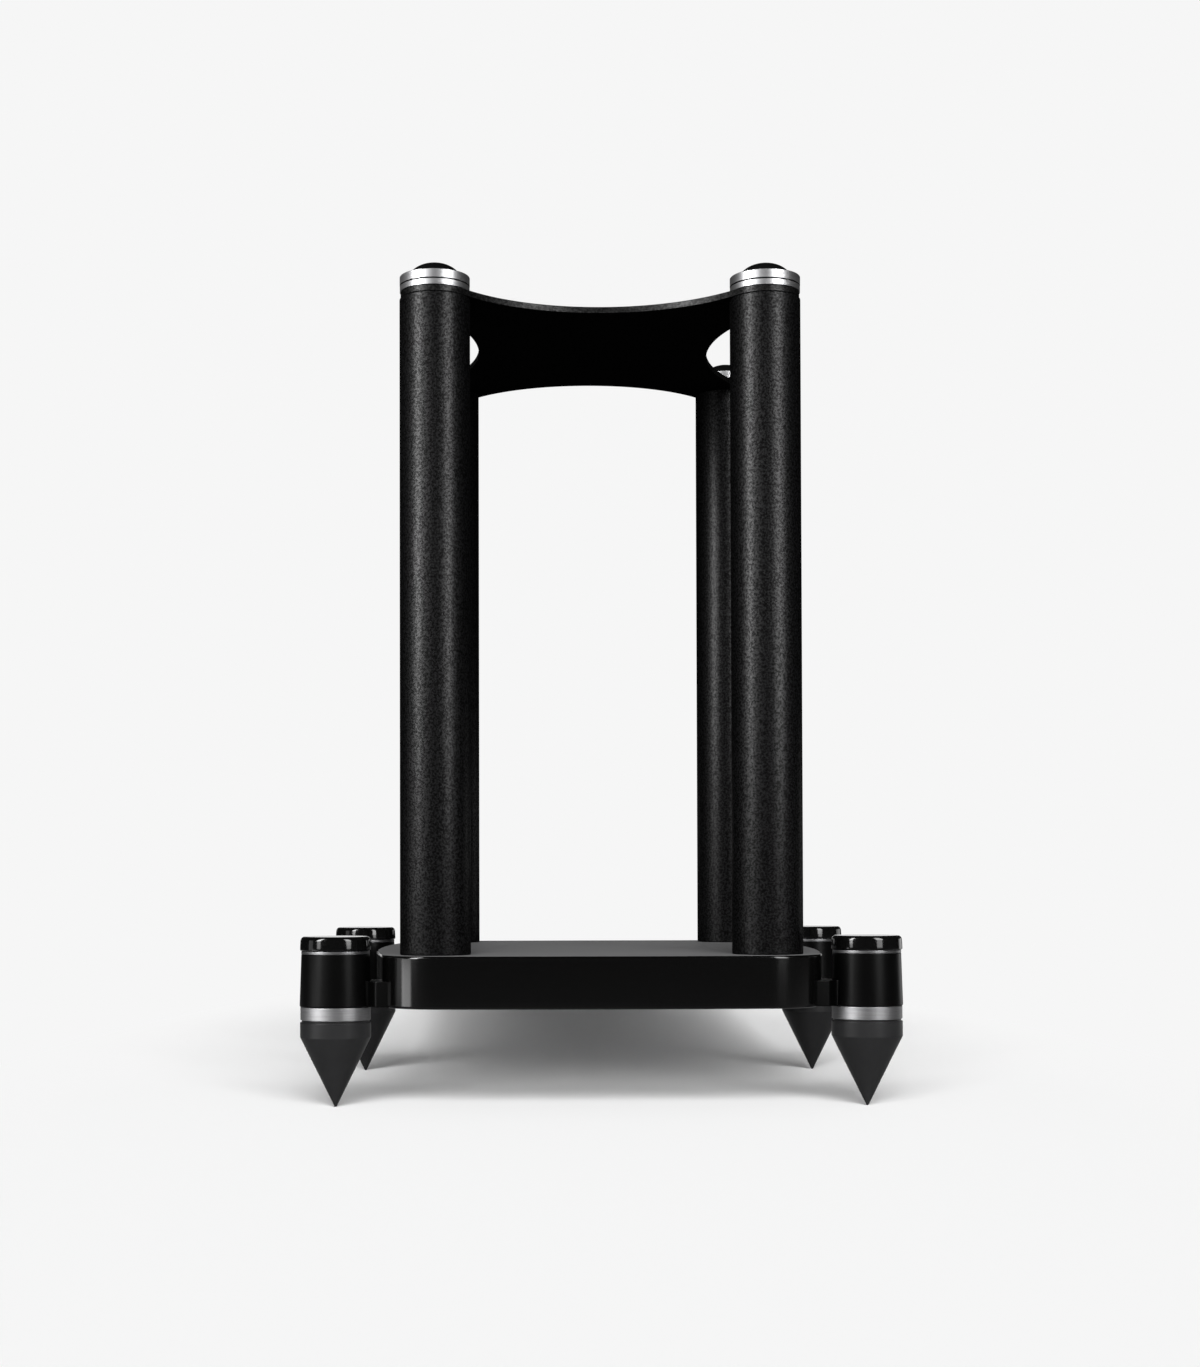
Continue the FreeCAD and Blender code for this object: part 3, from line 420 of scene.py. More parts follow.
@dataclass(frozen=True)
class TurnedMetal(Finish):
    """Metal with the fine rings of a lathe about an axis at each corner, and painted shade in the
    groove under the cup.
    """

    colour: Colour = (0.29, 0.29, 0.295)
    shadow: Colour = (0.24, 0.24, 0.245)
    roughness: float = 0.37
    spot: Point = PILLAR_SPOT
    pitch: float = 0.18 * MM
    relief: float = 0.01 * MM
    # painted shade: near-black colour laid in the groove between ring and cup, where shade falls
    soot: Colour = (0.004, 0.004, 0.004)
    groove_radius: float = 22.2 * MM
    groove_low: float = 522.37 * MM
    groove_high: float = 523.25 * MM
    groove_blur: float = 0.03 * MM
    cloud_scale: float = 120.0
    roughness_range: float = 0.14

    def shade(self, shading: Shading) -> None:
        """Noise that depends on radius and height alone runs round the axis; the groove between
        ring and cup is painted near black as shade.

        Args:
            shading: node tree of the finish's material.
        """
        radius = shading.radius(self.spot)
        marks = shading.noise(shading.vector(radius, 0.0, shading.z), 1.0 / self.pitch)
        cloud = shading.noise(shading.place, self.cloud_scale)
        # mask of the groove, inside groove_radius and between groove_low and groove_high, where
        # the painted shade goes
        soft = self.groove_blur
        clear = radius.step(self.groove_radius - soft, self.groove_radius + soft)
        above = shading.z.step(self.groove_high - soft, self.groove_high + soft)
        below = 1.0 - shading.z.step(self.groove_low - soft, self.groove_low + soft)
        outside_painted_shade = clear.larger(above.larger(below))
        metal = shading.tint(cloud, self.shadow, self.colour)
        shading.finish(
            Base_Color=shading.tint(outside_painted_shade, self.soot, metal),
            Metallic=1.0,
            Roughness=self.roughness + (marks - 0.5) * self.roughness_range,
            Normal=shading.bump(marks, self.relief))


@dataclass(frozen=True)
class BrushedMetal(Finish):
    """Metal brushed round its rim, with streaks that lie level."""

    colour: Colour = (0.21, 0.21, 0.214)
    streak: Colour = (0.155, 0.155, 0.158)
    roughness: float = 0.44
    relief: float = 0.02 * MM
    length: float = 14.0 * MM
    thickness: float = 0.22 * MM
    roughness_range: float = 0.1

    def shade(self, shading: Shading) -> None:
        """Noise drawn out along the level directions.

        Args:
            shading: node tree of the finish's material.
        """
        place = shading.vector(shading.x / self.length, shading.y / self.length,
                               shading.z / self.thickness)
        brushing = shading.noise(place, 1.0, detail=3.0, roughness=0.65)
        grooves = shading.noise(shading.vector(0.0, 0.0, shading.z), 1.0 / self.thickness)
        shading.finish(
            Base_Color=shading.tint(brushing.step(0.3, 0.7), self.streak, self.colour),
            Metallic=1.0,
            Roughness=self.roughness + (brushing - 0.5) * self.roughness_range,
            Normal=shading.bump(grooves, self.relief))


@dataclass(frozen=True)
class DarkSteel(Finish):
    """Dark satin steel with faint turning marks."""

    colour: Colour = (0.008, 0.008, 0.0083)
    sheen: Colour = (0.014, 0.014, 0.0144)
    roughness: float = 0.34
    roughness_range: float = 0.12
    specular: float = 0.09
    mark_scale: float = 3600.0
    cloud_scale: float = 90.0
    cloud_share: float = 0.6
    relief: float = 0.006 * MM

    def shade(self, shading: Shading) -> None:
        """Marks by height, and a slight cloud in tone.

        Args:
            shading: node tree of the finish's material.
        """
        marks = shading.noise(shading.vector(0.0, 0.0, shading.z), self.mark_scale)
        cloud = shading.noise(shading.place, self.cloud_scale, detail=3.0, roughness=0.6)
        tone = cloud * self.cloud_share + marks * (1.0 - self.cloud_share)
        shading.finish(
            Base_Color=shading.tint(tone, self.colour, self.sheen),
            Roughness=self.roughness + (marks - 0.5) * self.roughness_range,
            Specular_IOR_Level=self.specular,
            Normal=shading.bump(marks, self.relief))


@dataclass(frozen=True)
class GlossPlastic(Finish):
    """Polished black plastic."""

    colour: Colour = (0.0010, 0.0010, 0.0010)
    haze: Colour = (0.0020, 0.0020, 0.0020)
    roughness: float = 0.06
    haze_dull: float = 0.05
    specular: float = 0.28
    wave_scale: float = 60.0
    haze_scale: float = 260.0
    relief: float = 0.02 * MM
    relief_strength: float = 0.5

    def shade(self, shading: Shading) -> None:
        """A faint wave in the polish and a little haze.

        Args:
            shading: node tree of the finish's material.
        """
        wave = shading.noise(shading.place, self.wave_scale, detail=1.0)
        haze = shading.noise(shading.place, self.haze_scale, detail=3.0)
        shading.finish(
            Base_Color=shading.tint(haze, self.colour, self.haze),
            Roughness=self.roughness + haze * self.haze_dull,
            Specular_IOR_Level=self.specular,
            Normal=shading.bump(wave, self.relief, self.relief_strength))


@dataclass(frozen=True)
class Rubber(Finish):
    """Soft black rubber."""

    colour: Colour = (0.0005, 0.0005, 0.0005)
    dust: Colour = (0.0016, 0.0016, 0.0016)
    roughness: float = 0.46
    grain_dull: float = 0.16
    specular: float = 0.05
    grain_scale: float = 1300.0
    dust_scale: float = 70.0
    relief: float = 0.02 * MM

    def shade(self, shading: Shading) -> None:
        """Moulded grain with a trace of dust in it.

        Args:
            shading: node tree of the finish's material.
        """
        grain = shading.noise(shading.place, self.grain_scale)
        dust = shading.noise(shading.place, self.dust_scale)
        shading.finish(
            Base_Color=shading.tint(dust, self.colour, self.dust),
            Roughness=self.roughness + grain * self.grain_dull,
            Specular_IOR_Level=self.specular,
            Normal=shading.bump(grain, self.relief))


@dataclass(frozen=True)
class PlainMetal(Finish):
    """Metal of small parts that mostly stay hidden, with fine scratches."""

    colour: Colour = (0.6, 0.6, 0.6)
    stain: Colour = (0.45, 0.45, 0.45)
    roughness: float = 0.3
    roughness_range: float = 0.16
    cloud_scale: float = 400.0
    relief: float = 0.01 * MM
    relief_strength: float = 0.5

    def shade(self, shading: Shading) -> None:
        """Cloudy tone and roughness.

        Args:
            shading: node tree of the finish's material.
        """
        cloud = shading.noise(shading.place, self.cloud_scale, detail=3.0, roughness=0.6)
        shading.finish(
            Base_Color=shading.tint(cloud, self.stain, self.colour),
            Metallic=1.0,
            Roughness=self.roughness + (cloud - 0.5) * self.roughness_range,
            Normal=shading.bump(cloud, self.relief, self.relief_strength))


class Slot(Enum):
    """The record's material slots, each with its finish."""

    SLAB_LACQUER = SlabLacquer("slab_lacquer")
    PLATE_COAT = PowderCoat("plate_coat", light=(0.0014, 0.0014, 0.0014), roughness=0.4,
                            gloss=0.11, bare_below=514.9 * MM)
    PILLAR_COAT = PowderCoat("pillar_coat")
    PLUG_ALUMINIUM = PlainMetal("plug_aluminium", colour=(0.66, 0.66, 0.67),
                                stain=(0.5, 0.5, 0.51), roughness=0.34)
    TURNED_ALUMINIUM = TurnedMetal("turned_aluminium")
    DOME_RUBBER = Rubber("dome_rubber")
    HOUSING_PAINT = SatinPaint("housing_paint")
    THREAD_BRASS = PlainMetal("thread_brass", colour=(0.74, 0.55, 0.26),
                              stain=(0.6, 0.42, 0.18), roughness=0.28)
    SPIKE_STEEL = DarkSteel("spike_steel")
    BRUSHED_RING = BrushedMetal("brushed_ring")
    STUD_STEEL = PlainMetal("stud_steel", colour=(0.5, 0.51, 0.53),
                            stain=(0.38, 0.39, 0.4), roughness=0.26)
    KNOB_GLOSS = GlossPlastic("knob_gloss")
    BLACK_SCREWS = PlainMetal("black_screws", colour=(0.055, 0.055, 0.058),
                              stain=(0.03, 0.03, 0.032), roughness=0.36)
    WASHER_STEEL = TurnedMetal("washer_steel", colour=(0.13, 0.13, 0.133),
                               shadow=(0.1, 0.1, 0.102), roughness=0.4, spot=FOOT_SPOT)


# -------------------------------------------------------------------------------- meshes
@dataclass(frozen=True)
class Bend:
    """A corner of a section: radius and height, and how far it is rounded."""

    radius: float
    height: float
    rounding: float = 0.0

    def spread(self, before: "Bend", after: "Bend", steps: int) -> List[Point]:
        """Points of this corner, as one point or as an arc with a support point each side.

        Args:
            before: the corner before this one.
            after: the corner after this one.
            steps: faces in the arc.

        Returns:
            Points as (radius, height).
        """
        here = Vector((self.radius, self.height))
        if self.rounding == 0.0:
            return [tuple(here)]
        back = (Vector((before.radius, before.height)) - here).normalized()
        ahead = (Vector((after.radius, after.height)) - here).normalized()
        half = back.angle(ahead) / 2.0
        reach = self.rounding / math.tan(half)
        middle = here + (back + ahead).normalized() * self.rounding / math.sin(half)
        first = here + back * reach - middle
        turn = first.angle_signed(here + ahead * reach - middle)
        points = [here + back * (reach + SUPPORT)]
        points += [middle + Matrix.Rotation(-turn * step / steps, 2) @ first
                   for step in range(steps + 1)]
        points.append(here + ahead * (reach + SUPPORT))
        return [tuple(point) for point in points]


def section(bends: Sequence[Bend], closed: bool, steps: int = 6) -> List[Point]:
    """Points of a lathe's section.

    Args:
        bends: corners, from the axis or round a loop, with the solid on the left.
        closed: whether the section is a loop clear of the axis.
        steps: faces in each rounded corner.

    Returns:
        Points as (radius, height).
    """
    points: List[Point] = []
    for number, bend in enumerate(bends):
        if not closed and number in (0, len(bends) - 1):
            points.append((bend.radius, bend.height))
            continue
        before, after = bends[number - 1], bends[(number + 1) % len(bends)]
        points.extend(bend.spread(before, after, steps))
    return points


def add_lathe(mesh: bmesh.types.BMesh, points: Sequence[Point], spot: Point, closed: bool,
              segments: int = SEGMENTS) -> None:
    """Adds a turned shape to a mesh.

    Args:
        mesh: mesh that gets the shape.
        points: section as (radius, height).
        spot: where the axis stands.
        closed: whether the section is a loop clear of the axis.
        segments: faces round the axis.
    """
    rings = []
    for radius, height in points:
        count = 1 if radius == 0.0 else segments
        angles = [2.0 * math.pi * number / segments for number in range(count)]
        rings.append([mesh.verts.new((spot[0] + radius * math.cos(angle),
                                      spot[1] + radius * math.sin(angle), height))
                      for angle in angles])
    pairs = list(zip(rings, rings[1:] + rings[:1]))
    for lower, upper in pairs if closed else pairs[:-1]:
        for number in range(segments):
            following = (number + 1) % segments
            corners = [lower[number % len(lower)], lower[following % len(lower)],
                       upper[following % len(upper)], upper[number % len(upper)]]
            mesh.faces.new(list(dict.fromkeys(corners)))


def smooth(mesh: bmesh.types.BMesh) -> None:
    """Turns faces outwards and smooths all but sharp edges and the rims of flat caps.

    Args:
        mesh: mesh that is changed.
    """
    bmesh.ops.recalc_face_normals(mesh, faces=mesh.faces)
    for face in mesh.faces:
        face.smooth = True
    for edge in mesh.edges:
        angle = edge.calc_face_angle(0.0)
        at_cap = any(len(face.verts) > CAP_CORNERS for face in edge.link_faces)
        edge.smooth = angle < SHARP_ANGLE and not at_cap


def link(name: str, data: bpy.types.ID) -> bpy.types.Object:
    """Puts data into the scene as a new object.

    Args:
        name: name of the object.
        data: its mesh, lamp or camera.

    Returns:
        The object.
    """
    made = bpy.data.objects.new(name, data)
    bpy.context.scene.collection.objects.link(made)
    return made


def as_object(mesh: bmesh.types.BMesh, name: str) -> bpy.types.Object:
    """Frees a bmesh into a new object of the scene.

    Args:
        mesh: mesh, which is freed.
        name: name of the object.

    Returns:
        The object.
    """
    smooth(mesh)
    data = bpy.data.meshes.new(name)
    mesh.to_mesh(data)
    mesh.free()
    return link(name, data)


def plain_object(name: str, places: Sequence[Place],
                 faces: Sequence[Tuple[int, ...]] = ()) -> bpy.types.Object:
    """An object of given points, with the faces between them.

    Args:
        name: name of the object.
        places: the points.
        faces: numbers of the points of each face.

    Returns:
        The object.
    """
    data = bpy.data.meshes.new(name)
    data.from_pydata(places, [], faces)
    return link(name, data)


def stack(rings: Sequence[Sequence[Place]]) -> bmesh.types.BMesh:
    """A shape that goes up through level rings of equally many points, with flat ends.

    Args:
        rings: the rings, from the bottom up.

    Returns:
        The mesh.
    """
    mesh = bmesh.new()
    rows = [[mesh.verts.new(place) for place in ring] for ring in rings]
    for lower, upper in zip(rows, rows[1:]):
        for number in range(len(lower)):
            following = (number + 1) % len(lower)
            mesh.faces.new([lower[number], lower[following], upper[following], upper[number]])
    mesh.faces.new(list(reversed(rows[0])))
    mesh.faces.new(rows[-1])
    return mesh


def bake(item: bpy.types.Object) -> None:
    """Turns what an object's modifiers make into its own plain mesh.

    Args:
        item: object that is changed.
    """
    depsgraph = bpy.context.evaluated_depsgraph_get()
    data = bpy.data.meshes.new_from_object(item.evaluated_get(depsgraph))
    item.modifiers.clear()
    old = item.data
    item.data = data
    data.name = item.name
    bpy.data.meshes.remove(old)


def combine(item: bpy.types.Object, tool: bpy.types.Object, operation: str) -> None:
    """Joins a tool to an object or cuts it out of it, and removes the tool.

    Args:
        item: object that is changed.
        tool: object that is joined or cut out, and removed.
        operation: UNION or DIFFERENCE.
    """
    modifier = item.modifiers.new(operation.lower(), "BOOLEAN")
    modifier.operation = operation
    modifier.solver = "EXACT"
    modifier.object = tool
    bake(item)
    bpy.data.objects.remove(tool)


def settle(item: bpy.types.Object) -> None:
    """Cleans a combined mesh and smooths it again.

    Args:
        item: object that is changed.
    """
    mesh = bmesh.new()
    mesh.from_mesh(item.data)
    bmesh.ops.remove_doubles(mesh, verts=mesh.verts, dist=MERGE_DISTANCE)
    bmesh.ops.dissolve_degenerate(mesh, dist=MERGE_DISTANCE, edges=mesh.edges)
    smooth(mesh)
    mesh.to_mesh(item.data)
    mesh.free()


def deliver(item: bpy.types.Object, body: str, slot: Slot, replaced: Iterable[str]) -> None:
    """Gives a piece its finish, its body and the nodes that it stands for.

    Args:
        item: the piece.
        body: body that it rides on.
        slot: slot of the record, with its finish.
        replaced: nodes that it stands for.
    """
    item.data.materials.clear()
    item.data.materials.append(slot.value.material())
    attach(item, body)
    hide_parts(*replaced)
    LOG.info("%s rides on %s with %d faces", item.name, body, len(item.data.polygons))


def turned(name: str, bends: Sequence[Bend], spots: Iterable[Point], closed: bool,
           steps: int = 6) -> bpy.types.Object:
    """One object of equal turned shapes, one at each spot.

    Args:
        name: name of the object.
        bends: corners of the section.
        spots: where the axes stand.
        closed: whether the section is a loop clear of the axis.
        steps: faces in each rounded edge.

    Returns:
        The object.
    """
    mesh = bmesh.new()
    points = section(bends, closed, steps)
    for spot in spots:
        add_lathe(mesh, points, spot, closed)
    return as_object(mesh, name)


# ------------------------------------------------------------------------------ outlines
@dataclass(frozen=True)
class Arc:
    """An arc of an outline; bulge is 1 where it bulges outwards and -1 where it bends in."""

    centre: Point
    radius: float
    start: float
    end: float
    bulge: int
    steps: int

    def points(self, inset: float) -> List[Point]:
        """Points of the arc, moved into the outline by the inset.

        Args:
            inset: how far to move inwards.

        Returns:
            Points as (x, y).
        """
        radius = self.radius - self.bulge * inset
        angles = [self.start + (self.end - self.start) * step / self.steps
                  for step in range(self.steps + 1)]
        return [(self.centre[0] + radius * math.cos(angle),
                 self.centre[1] + radius * math.sin(angle)) for angle in angles]


def outline(arcs: Sequence[Arc], inset: float) -> List[Point]:
    """The whole outline from the arcs of its first quarter.

    Args:
        arcs: arcs from the X axis to the Y axis.
        inset: how far to move inwards.

    Returns:
        Points once round, counter-clockwise.
    """
    quarter = [point for arc in arcs for point in arc.points(inset)[:-1]]
    quarter.append(arcs[-1].points(inset)[-1])
    mirrored = [(-x, y) for x, y in reversed(quarter[:-1])]
    upper = quarter + mirrored
    return upper + [(x, -y) for x, y in reversed(upper[1:-1])]


def slab_rows(bottom: float, top: float, rounding: float, steps: int) -> List[Point]:
    """Insets and heights of the rows that go up a flat piece with rounded edges.

    Args:
        bottom: height of the lower face.
        top: height of the upper face.
        rounding: radius of the edges.
        steps: faces in each rounded edge.

    Returns:
        Rows as (inset, height), from the bottom up.
    """
    arc = [math.pi / 2.0 * step / steps for step in range(steps + 1)]
    lower = [(rounding * (1.0 - math.sin(angle)), bottom + rounding * (1.0 - math.cos(angle)))
             for angle in arc]
    lower.append((0.0, bottom + rounding + SUPPORT))
    upper = [(inset, top + bottom - height) for inset, height in reversed(lower)]
    return lower + upper


def flat_piece(name: str, arcs: Sequence[Arc], bottom: float, top: float, rounding: float,
               steps: int) -> bpy.types.Object:
    """A flat piece with that outline and rounded edges.

    Args:
        name: name of the object.
        arcs: arcs from the X axis to the Y axis.
        bottom: height of the lower face.
        top: height of the upper face.
        rounding: radius of the edges.
        steps: faces in each rounded edge.

    Returns:
        The object.
    """
    rings = [[(x, y, height) for x, y in outline(arcs, inset)]
             for inset, height in slab_rows(bottom, top, rounding, steps)]
    return as_object(stack(rings), name)


# ------------------------------------------------------------------------ geometry nodes
class Sprout:
    """A Geometry Nodes tree with named inputs, run once and turned into a plain mesh."""

    def __init__(self, name: str) -> None:
        """Starts a tree that takes and gives geometry.

        Args:
            name: name of the tree.
        """
        self.tree = bpy.data.node_groups.new(name, "GeometryNodeTree")
        self.graph = Graph(self.tree)
        self.identifiers: Dict[str, str] = {}
        self.values: Dict[str, object] = {}
        interface = self.tree.interface
        interface.new_socket("Geometry", in_out="INPUT", socket_type="NodeSocketGeometry")
        interface.new_socket("Geometry", in_out="OUTPUT", socket_type="NodeSocketGeometry")

    def take(self, name: str, kind: str, value: object) -> None:
        """Adds a named input of a kind such as Float, Int, Object or Material.

        Args:
            name: name of the input.
            kind: ending of the socket's type.
            value: its value.
        """
        socket = self.tree.interface.new_socket(
            name, in_out="INPUT", socket_type=f"NodeSocket{kind}")
        self.identifiers[name] = socket.identifier
        self.values[name] = value

    def inputs(self) -> bpy.types.bpy_prop_collection:
        """Sockets of the tree's inputs, once all are taken."""
        return self.graph.node("NodeGroupInput").outputs

    def give(self, geometry: bpy.types.NodeSocket, material: bpy.types.NodeSocket) -> None:
        """Ends the tree with plain geometry in its material.

        Args:
            geometry: geometry, which may hold copies.
            material: input with its material.
        """
        real = self.graph.node("GeometryNodeRealizeInstances", inputs={"Geometry": geometry})
        coated = self.graph.node("GeometryNodeSetMaterial", inputs={
            "Geometry": real.outputs[0], "Material": material})
        self.graph.node("NodeGroupOutput", inputs={"Geometry": coated.outputs[0]})

    def grow(self, item: bpy.types.Object) -> None:
        """Runs the tree on an object and keeps the result as its mesh.

        Args:
            item: object that the tree runs on.
        """
        modifier = item.modifiers.new(self.tree.name, "NODES")
        modifier.node_group = self.tree
        for name, value in self.values.items():
            modifier[self.identifiers[name]] = value
        bake(item)
        settle(item)


def scatter(name: str, pattern: bpy.types.Object, places: Sequence[Place],
            material: bpy.types.Material, seed: int) -> bpy.types.Object:
    """Copies of a screw on points, each turned by a chance angle; removes the pattern.

    Args:
        name: name of the object that is made.
        pattern: object to copy, drawn about the origin.
        places: where the copies go.
        material: their material.
        seed: fixed seed of the angles.

    Returns:
        The object with all the copies as one plain mesh.
    """
    sprout = Sprout(f"{name}_nodes")
    sprout.take("Pattern", "Object", pattern)
    sprout.take("Seed", "Int", seed)
    sprout.take("Largest Turn", "Float", math.pi / 3.0)
    sprout.take("Material", "Material", material)
    inputs = sprout.inputs()
    graph = sprout.graph
    source = graph.node("GeometryNodeObjectInfo", inputs={"Object": inputs["Pattern"]})
    turn = graph.node("FunctionNodeRandomValue", {"data_type": "FLOAT"}, {
        3: inputs["Largest Turn"], "Seed": inputs["Seed"]})
    angles = graph.node("ShaderNodeCombineXYZ", inputs={"Z": turn.outputs[1]})
    copies = graph.node("GeometryNodeInstanceOnPoints", inputs={
        "Points": inputs["Geometry"], "Instance": source.outputs["Geometry"],
        "Rotation": angles.outputs[0]})
    sprout.give(copies.outputs[0], inputs["Material"])
    made = plain_object(name, places)
    sprout.grow(made)
    bpy.data.objects.remove(pattern)
    return made


# ------------------------------------------------------------------------- sub-assemblies
def round_end(corner: Corner, reach: float, half: float, steps: int) -> List[Point]:
    """Half circle at the inner end of an arm or of its pocket.

    Args:
        corner: corner of the stand.
        reach: how far its middle is from the foot's axis.
        half: radius.
        steps: faces in the half circle.

    Returns:
        Points as (x, y).
    """
    spot, inwards = corner.place(FOOT_SPOT), -corner.value[0]
    end_x = spot[0] + inwards * reach
    angles = [math.pi * step / steps for step in range(steps + 1)]
    return [(end_x + inwards * half * math.sin(angle), spot[1] + half * math.cos(angle))
            for angle in angles]


def arm_screws(corner: Corner) -> List[Point]:
    """Places of the two screws under the arm of a corner."""
    return [corner.place((ARM_SCREW_X, FOOT_SPOT[1] + side * ARM_SCREW_SPREAD))
            for side in (1, -1)]


@dataclass
class BaseSlab:
    """Thick slab with bowed edges, and the pockets for the arms below."""

    width: float = 300.0 * MM
    depth: float = 334.0 * MM
    side_bow: float = 880.0 * MM
    front_bow: float = 2200.0 * MM
    corner: float = 40.0 * MM
    rounding: float = 1.6 * MM
    bottom: float = 63.7 * MM
    top: float = 96.7 * MM
    pocket_half_width: float = 18.3 * MM
    pocket_reach: float = 66.0 * MM
    pocket_top: float = 80.2 * MM
    pocket_steps: int = 32
    arc_steps: Tuple[int, int, int] = (20, 40, 16)
    edge_steps: int = 8

    def arcs(self) -> List[Arc]:
        """Half a side, a corner and half a rear edge.

        Returns:
            Arcs from the X axis to the Y axis.
        """
        side_x = self.width / 2.0 - self.side_bow
        rear_y = self.depth / 2.0 - self.front_bow
        side_reach = self.side_bow - self.corner
        rear_reach = self.front_bow - self.corner
        spacing = math.hypot(side_x, rear_y)
        along = (side_reach ** 2 - rear_reach ** 2 + spacing ** 2) / (2.0 * spacing)
        across = math.sqrt(side_reach ** 2 - along ** 2)
        unit = Vector((-side_x, rear_y)) / spacing
        corner_x = side_x + unit.x * along - unit.y * across
        corner_y = unit.y * along + unit.x * across
        side_angle = math.atan2(corner_y, corner_x - side_x)
        rear_angle = math.atan2(corner_y - rear_y, corner_x)
        side, corner, rear = self.arc_steps
        return [Arc((side_x, 0.0), self.side_bow, 0.0, side_angle, 1, side),
                Arc((corner_x, corner_y), self.corner, side_angle, rear_angle, 1, corner),
                Arc((0.0, rear_y), self.front_bow, rear_angle, math.pi / 2.0, 1, rear)]

    def pocket(self, corner: Corner) -> bpy.types.Object:
        """Solid of the pocket for one arm, from its round end out past the slab.

        Args:
            corner: corner of the stand.

        Returns:
            The solid, for cutting.
        """
        spot, half = corner.place(FOOT_SPOT), self.pocket_half_width
        ring = round_end(corner, self.pocket_reach, half, self.pocket_steps)
        ring += [(spot[0], spot[1] - half), (spot[0], spot[1] + half)]
        heights = (self.bottom - self.rounding, self.pocket_top)
        return as_object(stack([[(x, y, height) for x, y in ring] for height in heights]),
                         f"pocket_{corner.label}")

    def build(self) -> None:
        """Makes the slab."""
        slab = flat_piece("base_slab_lacquered", self.arcs(), self.bottom, self.top,
                          self.rounding, self.edge_steps)
        for corner in Corner:
            combine(slab, self.pocket(corner), "DIFFERENCE")
        settle(slab)
        deliver(slab, Body.STAND.value, Slot.SLAB_LACQUER, ["base_slab"])


@dataclass
class TopPlate:
    """Thin plate with a lobe round each pillar and bays between them."""

    lobe: float = 21.8 * MM
    front_inset: float = 31.2 * MM
    side_inset: float = 25.3 * MM
    rounding: float = 0.4 * MM
    bottom: float = 514.6 * MM
    top: float = 518.9 * MM
    edge_steps: int = 3
    bay_steps: int = 36
    lobe_steps: int = 56

    def bay(self, half_span: float, inset: float) -> float:
        """Radius of the bay between two lobes."""
        return (half_span ** 2 + inset ** 2 - self.lobe ** 2) / (2.0 * (self.lobe + inset))

    def arcs(self) -> List[Arc]:
        """Half a side bay, a lobe and half a rear bay.

        Returns:
            Arcs from the X axis to the Y axis.
        """
        lobe_x, lobe_y = PILLAR_SPOT
        side, rear = self.bay(lobe_y, self.side_inset), self.bay(lobe_x, self.front_inset)
        side_x = lobe_x - self.side_inset + side
        rear_y = lobe_y - self.front_inset + rear
        side_angle = math.atan2(lobe_y, lobe_x - side_x)
        rear_angle = math.atan2(rear_y - lobe_y, -lobe_x)
        return [Arc((side_x, 0.0), side, math.pi, side_angle, -1, self.bay_steps),
                Arc(PILLAR_SPOT, self.lobe, side_angle - math.pi, rear_angle, 1,
                    self.lobe_steps),
                Arc((0.0, rear_y), rear, rear_angle - math.pi, -math.pi / 2.0, -1,
                    self.bay_steps)]

    def build(self) -> None:
        """Makes the plate."""
        plate = flat_piece("top_plate_coated", self.arcs(), self.bottom, self.top,
                           self.rounding, self.edge_steps)
        deliver(plate, Body.STAND.value, Slot.PLATE_COAT, ["top_plate"])


@dataclass
class Pillars:
    """Four tubes, swept by one tree round a circle and copied to the corners."""

    diameter: float = 45.0 * MM
    wall: float = 2.0 * MM
    length: float = 417.9 * MM
    edge: float = 0.8 * MM
    foot: float = 96.7 * MM
    edge_steps: int = 4

    def build(self) -> None:
        """Makes the tubes."""
        sprout = Sprout("pillar_nodes")
        sprout.take("Middle Radius", "Float", (self.diameter - self.wall) / 2.0)
        sprout.take("Wall", "Float", self.wall)
        sprout.take("Length", "Float", self.length)
        sprout.take("Edge Rounding", "Float", self.edge)
        sprout.take("Segments", "Int", SEGMENTS)
        sprout.take("Material", "Material", Slot.PILLAR_COAT.value.material())
        inputs, graph = sprout.inputs(), sprout.graph
        circle = graph.node("GeometryNodeCurvePrimitiveCircle", {"mode": "RADIUS"}, {
            "Resolution": inputs["Segments"], "Radius": inputs["Middle Radius"]})
        wall = graph.node("GeometryNodeCurvePrimitiveQuadrilateral", {"mode": "RECTANGLE"}, {
            "Width": inputs["Wall"], "Height": inputs["Length"]})
        rounded = graph.node("GeometryNodeFilletCurve", {"mode": "POLY"}, {
            "Curve": wall.outputs[0], "Radius": inputs["Edge Rounding"],
            "Count": self.edge_steps})
        tube = graph.node("GeometryNodeCurveToMesh", inputs={
            "Curve": circle.outputs[0], "Profile Curve": rounded.outputs[0]})
        copies = graph.node("GeometryNodeInstanceOnPoints", inputs={
            "Points": inputs["Geometry"], "Instance": tube.outputs[0]})
        sprout.give(copies.outputs[0], inputs["Material"])
        middle = self.foot + self.length / 2.0
        tubes = plain_object("pillar_tubes", [(*corner.place(PILLAR_SPOT), middle)
                                              for corner in Corner])
        sprout.grow(tubes)
        deliver(tubes, Body.STAND.value, Slot.PILLAR_COAT,
                [f"pillar_tube_{corner.label}" for corner in Corner])


